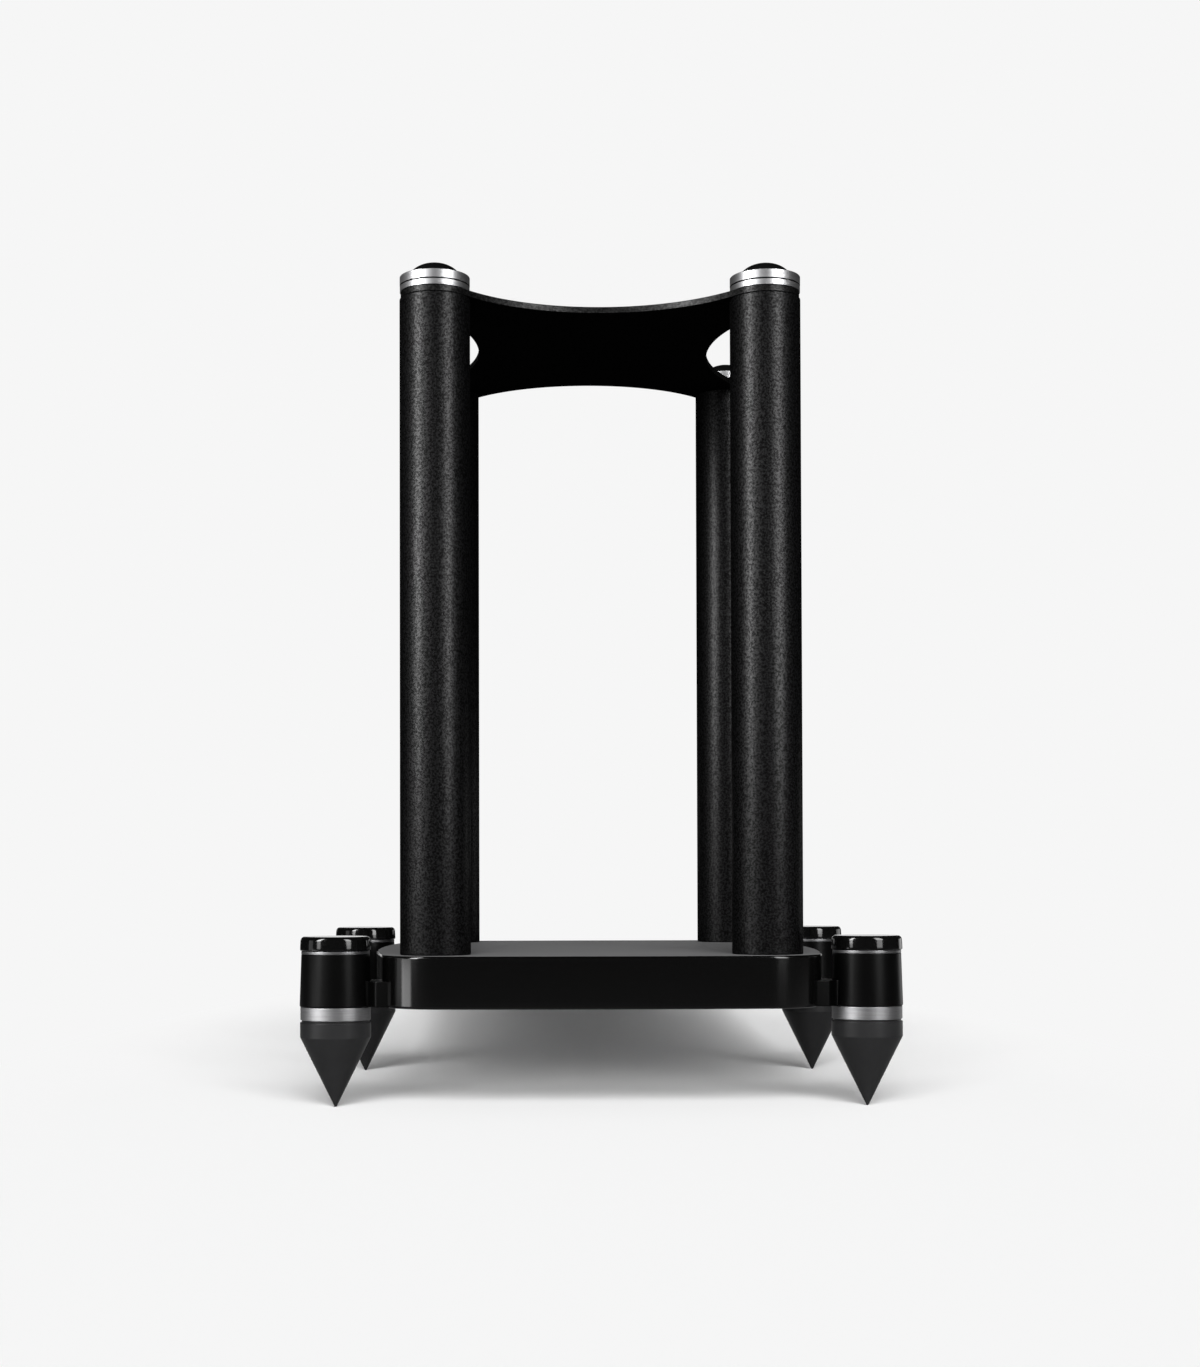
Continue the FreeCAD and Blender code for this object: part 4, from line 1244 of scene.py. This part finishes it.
@dataclass
class SpeakerRests:
    """Silver ring, silver cup and rubber dome over each pillar."""

    bore: float = 4.2 * MM
    ring_radius: float = 22.3 * MM
    ring_bottom: float = 518.9 * MM
    ring_top: float = 523.2 * MM
    groove_radius: float = 20.4 * MM
    groove_height: float = 0.8 * MM
    cup_radius: float = 22.4 * MM
    cup_recess: float = 17.7 * MM
    cup_floor: float = 525.8 * MM
    cup_top: float = 528.6 * MM
    edge: float = 0.35 * MM
    fine_edge: float = 0.1 * MM
    dome_radius: float = 17.5 * MM
    dome_fullness: float = 2.05
    dome_top: float = 537.65 * MM
    dome_pocket: float = 7.1 * MM
    dome_pocket_top: float = 531.4 * MM
    dome_steps: int = 22

    def dome_section(self) -> List[Point]:
        """Crown from the axis down to the cup, then the hollow over the screw.

        Returns:
            Points as (radius, height).
        """
        turns = [math.pi / 2.0 * step / self.dome_steps for step in range(self.dome_steps + 1)]
        bend = 2.0 / self.dome_fullness
        crown = [(self.dome_radius * max(math.sin(turn), 0.0) ** bend,
                  self.cup_floor + (self.dome_top - self.cup_floor)
                  * max(math.cos(turn), 0.0) ** bend) for turn in turns]
        return list(reversed(crown + [
            (self.dome_pocket, self.cup_floor),
            (self.dome_pocket, self.dome_pocket_top), (0.0, self.dome_pocket_top)]))

    def build(self) -> None:
        """Makes the rings, cups and domes."""
        for corner in Corner:
            spot = [corner.place(PILLAR_SPOT)]
            ring = turned(f"silver_ring_{corner.label}", [
                Bend(self.bore, self.ring_bottom), Bend(self.ring_radius, self.ring_bottom),
                Bend(self.ring_radius, self.ring_top - self.groove_height, self.fine_edge),
                Bend(self.groove_radius, self.ring_top - self.groove_height),
                Bend(self.groove_radius, self.ring_top),
                Bend(self.bore, self.ring_top)], spot, closed=True, steps=3)
            deliver(ring, Body.STAND.value, Slot.TURNED_ALUMINIUM, [f"clamp_ring_{corner.label}"])
            cup = turned(f"silver_cup_{corner.label}", [
                Bend(self.bore, self.ring_top),
                Bend(self.cup_radius, self.ring_top, self.fine_edge),
                Bend(self.cup_radius, self.cup_top, self.edge),
                Bend(self.cup_recess, self.cup_top), Bend(self.cup_recess, self.cup_floor),
                Bend(self.bore, self.cup_floor)], spot, closed=True, steps=3)
            deliver(cup, Body.STAND.value, Slot.TURNED_ALUMINIUM, [f"pad_cup_{corner.label}"])
            mesh = bmesh.new()
            add_lathe(mesh, self.dome_section(), spot[0], closed=False)
            dome = as_object(mesh, f"dome_{corner.label}")
            deliver(dome, Body.STAND.value, Slot.DOME_RUBBER, [f"rubber_dome_{corner.label}"])


@dataclass
class Feet:
    """The four outrigger feet."""

    spike_radius: float = 22.5 * MM
    tip_radius: float = 0.6 * MM
    tip_round: float = 0.2 * MM
    shoulder_round: float = 0.3 * MM
    cone_top: float = 44.5 * MM
    barrel_top: float = 54.0 * MM
    neck_radius: float = 21.4 * MM
    ring_bottom: float = 55.4 * MM
    ring_top: float = 63.7 * MM
    ring_radius: float = 22.3 * MM
    spigot_radius: float = 10.0 * MM
    spigot_top: float = 63.4 * MM
    bore: float = 5.05 * MM
    bore_bottom: float = 32.4 * MM
    edge: float = 0.35 * MM
    housing_bottom: float = 64.0 * MM
    housing_top: float = 97.2 * MM
    housing_base_radius: float = 22.75 * MM
    housing_top_radius: float = 21.7 * MM
    housing_round: float = 0.5 * MM
    arm_top: float = 80.2 * MM
    arm_half_width: float = 18.0 * MM
    arm_reach: float = 66.0 * MM
    arm_round: float = 0.4 * MM
    arm_gap: float = 0.001 * MM
    arm_steps: int = 48
    bolt_recess: Point = (8.5 * MM, 74.2 * MM)
    screw_recess: Point = (5.5 * MM, 70.5 * MM)
    bush_flange: Point = (10.05 * MM, 66.0 * MM)
    bush_sleeve: Point = (8.05 * MM, 94.3 * MM)
    stud_hole: float = 5.3 * MM
    neck_half_width: float = 10.5 * MM
    neck_start: float = 27.6 * MM
    neck_end: float = 20.2 * MM
    neck_steps: int = 10
    washer_top: float = 99.1 * MM
    washer_round: float = 0.2 * MM
    knob_bottom: float = 99.4 * MM
    knob_top: float = 108.3 * MM
    knob_radius: float = 22.45 * MM
    knob_top_round: float = 2.6 * MM
    knob_crown: float = 0.42 * MM
    knob_crown_radius: float = 45.0 * MM
    knob_middle: float = 101.9 * MM
    knob_base_round: float = 0.6 * MM
    insert_radius: float = 9.05 * MM
    insert_top: float = 106.7 * MM
    stud_bottom: float = 32.7 * MM
    stud_top: float = 105.9 * MM
    stud_core: float = 4.4 * MM
    stud_radius: float = 5.0 * MM
    stud_round: float = 0.6 * MM
    pitch: float = 1.5 * MM
    thread_steps: int = 28
    ridge_sides: int = 4

    def spike(self, corner: Corner) -> None:
        """Cone, barrel, neck and spigot, and the silver ring on them.

        Args:
            corner: corner of the stand.
        """
        spot = [corner.place(FOOT_SPOT)]
        cone = turned(f"spike_cone_{corner.label}", [
            Bend(0.0, 0.0), Bend(self.tip_radius, 0.0, self.tip_round),
            Bend(self.spike_radius, self.cone_top, self.shoulder_round),
            Bend(self.spike_radius, self.barrel_top, self.edge),
            Bend(self.neck_radius, self.barrel_top), Bend(self.neck_radius, self.ring_bottom),
            Bend(self.spigot_radius, self.ring_bottom),
            Bend(self.spigot_radius, self.spigot_top), Bend(self.bore, self.spigot_top),
            Bend(self.bore, self.bore_bottom), Bend(0.0, self.bore_bottom)],
            spot, closed=False, steps=4)
        deliver(cone, Body.SPIKE.at(corner), Slot.SPIKE_STEEL, [f"spike_{corner.label}"])
        ring = turned(f"brushed_ring_{corner.label}", [
            Bend(self.spigot_radius, self.ring_bottom),
            Bend(self.ring_radius, self.ring_bottom, self.edge),
            Bend(self.ring_radius, self.ring_top, self.edge),
            Bend(self.spigot_radius, self.ring_top)], spot, closed=True, steps=3)
        deliver(ring, Body.SPIKE.at(corner), Slot.BRUSHED_RING, [f"spike_ring_{corner.label}"])

    def stud(self, corner: Corner) -> None:
        """Stud with its thread, which a tree winds round the core.

        Args:
            corner: corner of the stand.
        """
        spot = corner.place(FOOT_SPOT)
        core = turned(f"threaded_stud_{corner.label}", [
            Bend(0.0, self.stud_bottom),
            Bend(self.stud_core, self.stud_bottom, self.stud_round),
            Bend(self.stud_core, self.stud_top, self.stud_round),
            Bend(0.0, self.stud_top)], [(0.0, 0.0)], closed=False, steps=3)
        core.data.transform(Matrix.Translation((0.0, 0.0, -self.stud_bottom)))
        sprout = Sprout(f"thread_nodes_{corner.label}")
        length = self.stud_top - self.stud_bottom - 2.0 * self.pitch
        depth = self.stud_radius - self.stud_core
        sprout.take("Turns", "Float", length / self.pitch)
        sprout.take("Thread Length", "Float", length)
        sprout.take("Ridge Middle", "Float", self.stud_radius - depth)
        sprout.take("Ridge Size", "Float", depth)
        sprout.take("Start", "Vector", (0.0, 0.0, self.pitch))
        sprout.take("Foot", "Vector", (*spot, self.stud_bottom))
        sprout.take("Material", "Material", Slot.STUD_STEEL.value.material())
        inputs, graph = sprout.inputs(), sprout.graph
        helix = graph.node("GeometryNodeCurveSpiral", inputs={
            "Resolution": self.thread_steps, "Rotations": inputs["Turns"],
            "Start Radius": inputs["Ridge Middle"], "End Radius": inputs["Ridge Middle"],
            "Height": inputs["Thread Length"]})
        ridge = graph.node("GeometryNodeCurvePrimitiveCircle", {"mode": "RADIUS"}, {
            "Resolution": self.ridge_sides, "Radius": inputs["Ridge Size"]})
        thread = graph.node("GeometryNodeCurveToMesh", inputs={
            "Curve": helix.outputs[0], "Profile Curve": ridge.outputs[0], "Fill Caps": True})
        raised = graph.node("GeometryNodeTransform", inputs={
            "Geometry": thread.outputs[0], "Translation": inputs["Start"]})
        both = graph.node("GeometryNodeJoinGeometry", inputs={"Geometry": raised.outputs[0]})
        graph.tree.links.new(inputs["Geometry"], both.inputs[0])
        placed = graph.node("GeometryNodeTransform", inputs={
            "Geometry": both.outputs[0], "Translation": inputs["Foot"]})
        sprout.give(placed.outputs[0], inputs["Material"])
        sprout.grow(core)
        deliver(core, Body.STUD.at(corner), Slot.STUD_STEEL, [f"spike_stud_{corner.label}"])

    def neck(self, half: float, inset: float) -> List[Point]:
        """Side of the arm that curves in at the housing, as (way from the axis, half width).

        Args:
            half: half the arm's width in this row.
            inset: how far this row is moved inwards.

        Returns:
            Points from the slab to the foot's axis.
        """
        thin = self.neck_half_width - inset
        side = []
        for step in range(self.neck_steps + 1):
            share = step / self.neck_steps
            bend = (1.0 - math.cos(math.pi * share)) / 2.0
            way = self.neck_start + (self.neck_end - self.neck_start) * share
            side.append((way, half + (thin - half) * bend))
        return side + [(inset, thin)]

    def arm(self, corner: Corner) -> bpy.types.Object:
        """Arm from the foot's axis to its round end under the slab.

        Args:
            corner: corner of the stand.

        Returns:
            The solid, to be joined to the housing.
        """
        spot, inwards = corner.place(FOOT_SPOT), -corner.value[0]
        rings = []
        bottom = self.housing_bottom + self.arm_gap
        for inset, height in slab_rows(bottom, self.arm_top, self.arm_round, steps=3):
            half = self.arm_half_width - inset
            ring = round_end(corner, self.arm_reach, half, self.arm_steps)
            side = self.neck(half, inset)
            ring += [(spot[0] + inwards * way, spot[1] - width) for way, width in side]
            ring += [(spot[0] + inwards * way, spot[1] + width) for way, width in reversed(side)]
            rings.append([(x, y, height) for x, y in ring])
        return as_object(stack(rings), f"arm_{corner.label}")

    def drill(self, corner: Corner) -> bpy.types.Object:
        """Solids of the recesses for the bolt and the screws under the arm.

        Args:
            corner: corner of the stand.

        Returns:
            The solids, for cutting.
        """
        mesh = bmesh.new()
        below = self.housing_bottom - OVERSHOOT
        recesses = [(corner.place(PILLAR_SPOT), *self.bolt_recess)]
        recesses += [(spot, *self.screw_recess) for spot in arm_screws(corner)]
        for spot, radius, top in recesses:
            add_lathe(mesh, [(0.0, below), (radius, below), (radius, top), (0.0, top)],
                      spot, closed=False, segments=HOLE_SEGMENTS)
        return as_object(mesh, f"drill_{corner.label}")

    def housing(self, corner: Corner) -> None:
        """Tapered housing with its arm.

        Args:
            corner: corner of the stand.
        """
        spot = corner.place(FOOT_SPOT)
        housing = turned(f"housing_{corner.label}", [
            Bend(0.0, self.housing_bottom),
            Bend(self.housing_base_radius, self.housing_bottom, self.housing_round),
            Bend(self.housing_top_radius, self.housing_top, self.housing_round),
            Bend(0.0, self.housing_top)], [spot], closed=False, steps=4)
        combine(housing, self.arm(corner), "UNION")
        mesh = bmesh.new()
        below, above = self.housing_bottom - OVERSHOOT, self.housing_top + OVERSHOOT
        (flange, floor), (sleeve, roof) = self.bush_flange, self.bush_sleeve
        add_lathe(mesh, [(0.0, below), (flange, below), (flange, floor), (sleeve, floor),
                         (sleeve, roof), (self.stud_hole, roof), (self.stud_hole, above),
                         (0.0, above)], spot, closed=False, segments=HOLE_SEGMENTS)
        combine(housing, as_object(mesh, f"bush_hole_{corner.label}"), "DIFFERENCE")
        combine(housing, self.drill(corner), "DIFFERENCE")
        settle(housing)
        deliver(housing, Body.STAND.value, Slot.HOUSING_PAINT, [f"foot_housing_{corner.label}"])

    def knob(self, corner: Corner) -> None:
        """Lock knob with rounded edges and the pocket for its insert.

        Args:
            corner: corner of the stand.
        """
        knob = turned(f"gloss_knob_{corner.label}", [
            Bend(0.0, self.insert_top), Bend(self.insert_radius, self.insert_top),
            Bend(self.insert_radius, self.knob_bottom),
            Bend(self.knob_radius, self.knob_bottom, self.knob_base_round),
            Bend(self.knob_radius, self.knob_middle, self.knob_crown_radius),
            Bend(self.knob_radius - self.knob_crown, self.knob_top, self.knob_top_round),
            Bend(0.0, self.knob_top)], [corner.place(FOOT_SPOT)], closed=False, steps=10)
        deliver(knob, Body.KNOB.at(corner), Slot.KNOB_GLOSS, [f"lock_knob_{corner.label}"])

    def washers(self) -> None:
        """Grey washer on top of each housing."""
        washers = turned("grey_washers", [
            Bend(self.stud_hole, self.housing_top),
            Bend(self.housing_top_radius, self.housing_top, self.washer_round),
            Bend(self.housing_top_radius, self.washer_top, self.washer_round),
            Bend(self.stud_hole, self.washer_top)],
            [corner.place(FOOT_SPOT) for corner in Corner], closed=True, steps=2)
        deliver(washers, Body.STAND.value, Slot.WASHER_STEEL, ["foot_washers"])

    def build(self) -> None:
        """Makes the feet."""
        for corner in Corner:
            self.housing(corner)
            self.spike(corner)
            self.stud(corner)
            self.knob(corner)
        self.washers()


@dataclass(frozen=True)
class Screw:
    """A round-headed screw with a hexagon socket, drawn from its seat."""

    shank_radius: float
    length: float
    head_radius: float
    head_height: float
    key: float
    head_below: bool
    head_round: float = 0.5 * MM
    end_round: float = 0.6 * MM
    sides: int = 48

    def pattern(self, name: str) -> bpy.types.Object:
        """One screw about the origin, with its seat at zero and its shank up.

        Args:
            name: name of the object.

        Returns:
            The screw.
        """
        mesh = bmesh.new()
        head, socket = -self.head_height, -self.head_height / 2.0
        past_head, socket_tip = head * 1.2, socket * 0.8
        points = section([
            Bend(0.0, head), Bend(self.head_radius, head, self.head_round),
            Bend(self.head_radius, 0.0), Bend(self.shank_radius, 0.0),
            Bend(self.shank_radius, self.length, self.end_round),
            Bend(0.0, self.length)], closed=False, steps=3)
        add_lathe(mesh, points, (0.0, 0.0), closed=False, segments=self.sides)
        screw = as_object(mesh, name)
        mesh = bmesh.new()
        corner_radius = self.key / math.sqrt(3.0)
        add_lathe(mesh, [(0.0, past_head), (corner_radius, past_head), (corner_radius, socket),
                         (0.0, socket_tip)], (0.0, 0.0), closed=False, segments=6)
        combine(screw, as_object(mesh, f"{name}_socket"), "DIFFERENCE")
        if not self.head_below:
            screw.data.transform(Matrix.Rotation(math.pi, 4, "X"))
        settle(screw)
        return screw


@dataclass
class Fasteners:
    """The screws and bolts, each kind copied to its places by one tree."""

    bolt_seat: float = 72.6 * MM
    arm_seat: float = 70.5 * MM
    top_seat: float = 525.8 * MM
    bolt: Screw = Screw(shank_radius=4.0 * MM, length=45.0 * MM, head_radius=6.5 * MM,
                        head_height=8.0 * MM, key=6.0 * MM, head_below=True)
    arm_screw: Screw = Screw(shank_radius=3.0 * MM, length=20.0 * MM, head_radius=5.0 * MM,
                             head_height=6.0 * MM, key=5.0 * MM, head_below=True)
    top_screw: Screw = Screw(shank_radius=4.0 * MM, length=25.0 * MM, head_radius=6.5 * MM,
                             head_height=5.0 * MM, key=5.0 * MM, head_below=False)

    def build(self) -> None:
        """Makes the three kinds of screw."""
        pillars = [corner.place(PILLAR_SPOT) for corner in Corner]
        arms = [spot for corner in Corner for spot in arm_screws(corner)]
        kinds = (
            ("base_bolt_set", "base_bolts", self.bolt, pillars, self.bolt_seat),
            ("arm_screw_set", "arm_screws", self.arm_screw, arms, self.arm_seat),
            ("top_screw_set", "top_screws", self.top_screw, pillars, self.top_seat),
        )
        material = Slot.BLACK_SCREWS.value.material()
        for seed, (name, node, screw, spots, seat) in enumerate(kinds, start=1):
            places = [(*spot, seat) for spot in spots]
            made = scatter(name, screw.pattern(f"{name}_pattern"), places, material, seed)
            deliver(made, Body.STAND.value, Slot.BLACK_SCREWS, [node])


@dataclass
class HiddenParts:
    """CAD nodes that keep their own mesh and only get a finish."""

    single: Tuple[Tuple[str, Slot], ...] = (
        ("base_bolt_washers", Slot.BLACK_SCREWS), ("slab_inserts", Slot.THREAD_BRASS))
    at_corners: Tuple[Tuple[str, Slot], ...] = (
        ("pillar_base_plug", Slot.PLUG_ALUMINIUM), ("pillar_head_plug", Slot.PLUG_ALUMINIUM),
        ("foot_bush", Slot.THREAD_BRASS), ("knob_insert", Slot.THREAD_BRASS))

    def build(self) -> None:
        """Gives each node its finish."""
        finishes = dict(self.single)
        for stem, slot in self.at_corners:
            finishes.update({f"{stem}_{corner.label}": slot for corner in Corner})
        for node, slot in finishes.items():
            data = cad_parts[node].data
            data.materials.clear()
            data.materials.append(slot.value.material())
            LOG.info("%s keeps its mesh, in %s", node, slot.value.name)


# -------------------------------------------------------------------------------- studio
@dataclass
class Camera:
    """The photograph's camera."""

    place: Place = (-0.050145, -1.4519, 0.14456)
    yaw: float = 0.00989
    pitch: float = 0.019753
    roll: float = -0.0021942
    focal: float = 2076.7
    centre: Point = (543.16, 837.98)
    image: Point = (1200.0, 1367.0)
    sensor: float = 36.0

    def build(self) -> None:
        """Makes the camera and gives it to the scene."""
        ahead = Vector((math.sin(self.yaw) * math.cos(self.pitch),
                        math.cos(self.yaw) * math.cos(self.pitch), math.sin(self.pitch)))
        level = Vector((math.cos(self.yaw), -math.sin(self.yaw), 0.0))
        upright = level.cross(ahead)
        right = level * math.cos(self.roll) + upright * math.sin(self.roll)
        up = upright * math.cos(self.roll) - level * math.sin(self.roll)
        longest = max(self.image)
        data = bpy.data.cameras.new("camera")
        data.sensor_width = self.sensor
        data.lens = self.focal * self.sensor / longest
        data.shift_x = (self.image[0] / 2.0 - self.centre[0]) / longest
        data.shift_y = (self.centre[1] - self.image[1] / 2.0) / longest
        camera = link("camera", data)
        axes = Matrix((right, up, -ahead)).transposed().to_4x4()
        camera.matrix_world = Matrix.Translation(self.place) @ axes
        bpy.context.scene.camera = camera


@dataclass(frozen=True)
class Softbox:
    """A soft lamp or card that is seen in the gloss only."""

    name: str
    azimuth: float
    distance: float
    width: float
    low: float
    high: float
    radiance: float

    def build(self) -> None:
        """Makes the lamp, facing the stand; azimuth 0 is in front, 90 on the right."""
        angle = math.radians(self.azimuth)
        data = bpy.data.lights.new(self.name, "AREA")
        data.shape = "RECTANGLE"
        data.size, data.size_y = self.width, self.high - self.low
        data.energy = self.radiance * math.pi * data.size * data.size_y
        lamp = link(self.name, data)
        lamp.location = (math.sin(angle) * self.distance, -math.cos(angle) * self.distance,
                         (self.low + self.high) / 2.0)
        lamp.rotation_euler = (math.pi / 2.0, 0.0, angle)
        lamp.visible_camera = False
        lamp.visible_diffuse = False


@dataclass
class Studio:
    """Pale floor and backdrop, two soft suns, and what gloss alone sees: lamps in a dark tent."""

    pale: float = 0.922
    sky: float = 0.12
    key_elevation: float = 24.0
    key_spread: float = 42.0
    key_azimuths: Tuple[float, ...] = (-10.0, 10.0)
    room_width: float = 1.8
    room_radius: float = 1.0
    room_height: float = 2.2
    room_front: float = 0.055
    slot_level: float = 0.9
    slot_rise: Point = (0.118, 0.128)
    slot_fall: Point = (0.2, 0.24)
    slot_back: Point = (0.90, 0.95)
    room_back: float = 0.02
    room_sides: int = 72
    ground_level: float = 0.33
    ground_gap: float = 0.3 * MM
    ground_fade: Point = (1.0 * MM, 2.0 * MM)
    glow_back: Point = (-0.25, 0.35)
    glow_fade: Point = (0.15, 0.6)
    floor_half: float = 12.0
    lit_reach: Point = (0.29, 1.1)
    fade_start: float = 1.0
    fade_end: float = 1.6
    flag_height: float = 0.05
    flag_middle: float = 0.012
    flag_outline: Tuple[Point, ...] = ((0.14, -0.01), (0.15, 0.10), (0.175, 1.0))
    boxes: Tuple[Softbox, ...] = (  # azimuth, distance, width, low, high, radiance
        Softbox("softbox_left", -48.0, 1.25, 0.48, 0.23, 1.60, 34.0),
        Softbox("softbox_left_foot", -48.0, 1.25, 0.36, 0.09, 0.23, 7.0),
        Softbox("softbox_right", 37.0, 1.05, 0.36, 0.21, 1.40, 17.0),
        Softbox("softbox_right_foot", 37.0, 1.05, 0.27, 0.09, 0.21, 7.5),
        Softbox("corner_card", -62.0, 0.73, 0.20, 0.0, 0.075, 8.0),
        Softbox("side_card", -78.0, 1.30, 0.34, 0.0, 0.40, 1.3),
        Softbox("rear_card", 122.0, 1.10, 0.50, 0.0, 0.24, 1.6),
    )

    def world(self) -> None:
        """Pale for what looks at it or mirrors it, dim for what it lights."""
        world = bpy.data.worlds.new("studio_world")
        world.use_nodes = True
        bpy.context.scene.world = world
        graph = Graph(world.node_tree)
        rays = graph.node("ShaderNodeLightPath").outputs
        seen = [Term(graph, rays[name])
                for name in ("Is Camera Ray", "Is Glossy Ray", "Is Transmission Ray")]
        either = seen[0].larger(seen[1].larger(seen[2]))
        light = graph.node("ShaderNodeBackground", inputs={
            "Color": (1.0, 1.0, 1.0, 1.0),
            "Strength": self.sky + either * (self.pale - self.sky)})
        graph.node("ShaderNodeOutputWorld", inputs={"Surface": light.outputs[0]})

    def key(self) -> None:
        """Soft suns in front, which light pale things as pale as they are."""
        data = bpy.data.lights.new("key", "SUN")
        elevation = math.radians(self.key_elevation)
        share = (1.0 - self.sky) / len(self.key_azimuths)
        data.energy = share * math.pi / math.sin(elevation)
        data.angle = math.radians(self.key_spread)
        for azimuth in self.key_azimuths:
            lamp = link("key", data)
            lamp.rotation_euler = (math.pi / 2.0 - elevation, 0.0, math.radians(azimuth))
            lamp.visible_glossy = False

    def floor(self) -> None:
        """Pale floor that fades into the backdrop away from the stand."""
        material = bpy.data.materials.new("studio_floor")
        shading = Shading(material)
        across, along = shading.x / self.lit_reach[0], shading.y / self.lit_reach[1]
        distance = (across * across + along * along).root()
        colour = (self.pale, self.pale, self.pale, 1.0)
        lit = shading.node("ShaderNodeBsdfDiffuse", inputs={"Color": colour})
        plain = shading.node("ShaderNodeEmission", inputs={"Color": colour})
        mixed = shading.node("ShaderNodeMixShader", inputs={
            0: distance.step(self.fade_start, self.fade_end), 1: lit.outputs[0],
            2: plain.outputs[0]})
        shading.node("ShaderNodeOutputMaterial", inputs={"Surface": mixed.outputs[0]})
        half = self.floor_half
        floor = plain_object("floor", [(-half, -half, 0.0), (half, -half, 0.0),
                                       (half, half, 0.0), (-half, half, 0.0)], [(0, 1, 2, 3)])
        floor.data.materials.append(material)

    def room(self) -> None:
        """Dark tent round the stand, which only gloss sees."""
        material = bpy.data.materials.new("studio_curtain")
        shading = Shading(material)
        back = shading.y / self.room_radius
        glow = 1.0 - back.step(*self.glow_back)
        glow = glow * (1.0 - shading.z.step(*self.glow_fade))
        slot = shading.z.step(*self.slot_rise) * (1.0 - shading.z.step(*self.slot_fall))
        slot = slot * back.step(*self.slot_back)
        tone = self.room_back + glow * (self.room_front - self.room_back)
        tone = tone + slot * self.slot_level
        tone = tone + (1.0 - shading.z.step(*self.ground_fade)) * (self.ground_level - tone)
        cloth = shading.node("ShaderNodeEmission", inputs={"Strength": tone})
        shading.node("ShaderNodeOutputMaterial", inputs={"Surface": cloth.outputs[0]})
        angles = [2.0 * math.pi * side / self.room_sides for side in range(self.room_sides)]
        mesh = bmesh.new()
        columns = [[mesh.verts.new((math.sin(angle) * self.room_width,
                                    math.cos(angle) * self.room_radius, height))
                    for height in (self.ground_gap, self.room_height)] for angle in angles]
        for first, second in zip(columns, columns[1:] + columns[:1]):
            mesh.faces.new([first[0], second[0], second[1], first[1]])
        mesh.faces.new([column[1] for column in columns])
        mesh.faces.new([column[0] for column in columns])
        curtain = as_object(mesh, "curtain")
        curtain.data.materials.append(material)
        curtain.visible_camera = False
        curtain.visible_diffuse = False
        curtain.visible_shadow = False

    def flag(self) -> None:
        """Low card that keeps the suns off the floor behind the stand."""
        ring = [(self.flag_middle + x, y) for x, y in self.flag_outline]
        ring += [(self.flag_middle - x, y) for x, y in reversed(self.flag_outline)]
        flag = plain_object("flag", [(x, y, self.flag_height) for x, y in ring],
                            [tuple(range(len(ring)))])
        flag.visible_camera = False
        flag.visible_glossy = False
        flag.visible_transmission = False

    def build(self) -> None:
        """Makes the whole studio."""
        bpy.context.scene.view_settings.view_transform = "Standard"
        self.world()
        self.key()
        self.floor()
        self.room()
        self.flag()
        for box in self.boxes:
            box.build()


def main() -> None:
    """Builds camera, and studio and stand."""
    logging.basicConfig(level=logging.INFO, format="%(name)s: %(message)s")
    Camera().build()
    Studio().build()
    for part in (BaseSlab(), TopPlate(), Pillars(), SpeakerRests(), Feet(), Fasteners(),
                 HiddenParts()):
        part.build()
        LOG.info("%s is ready", type(part).__name__)


if __name__ == "__main__":
    main()
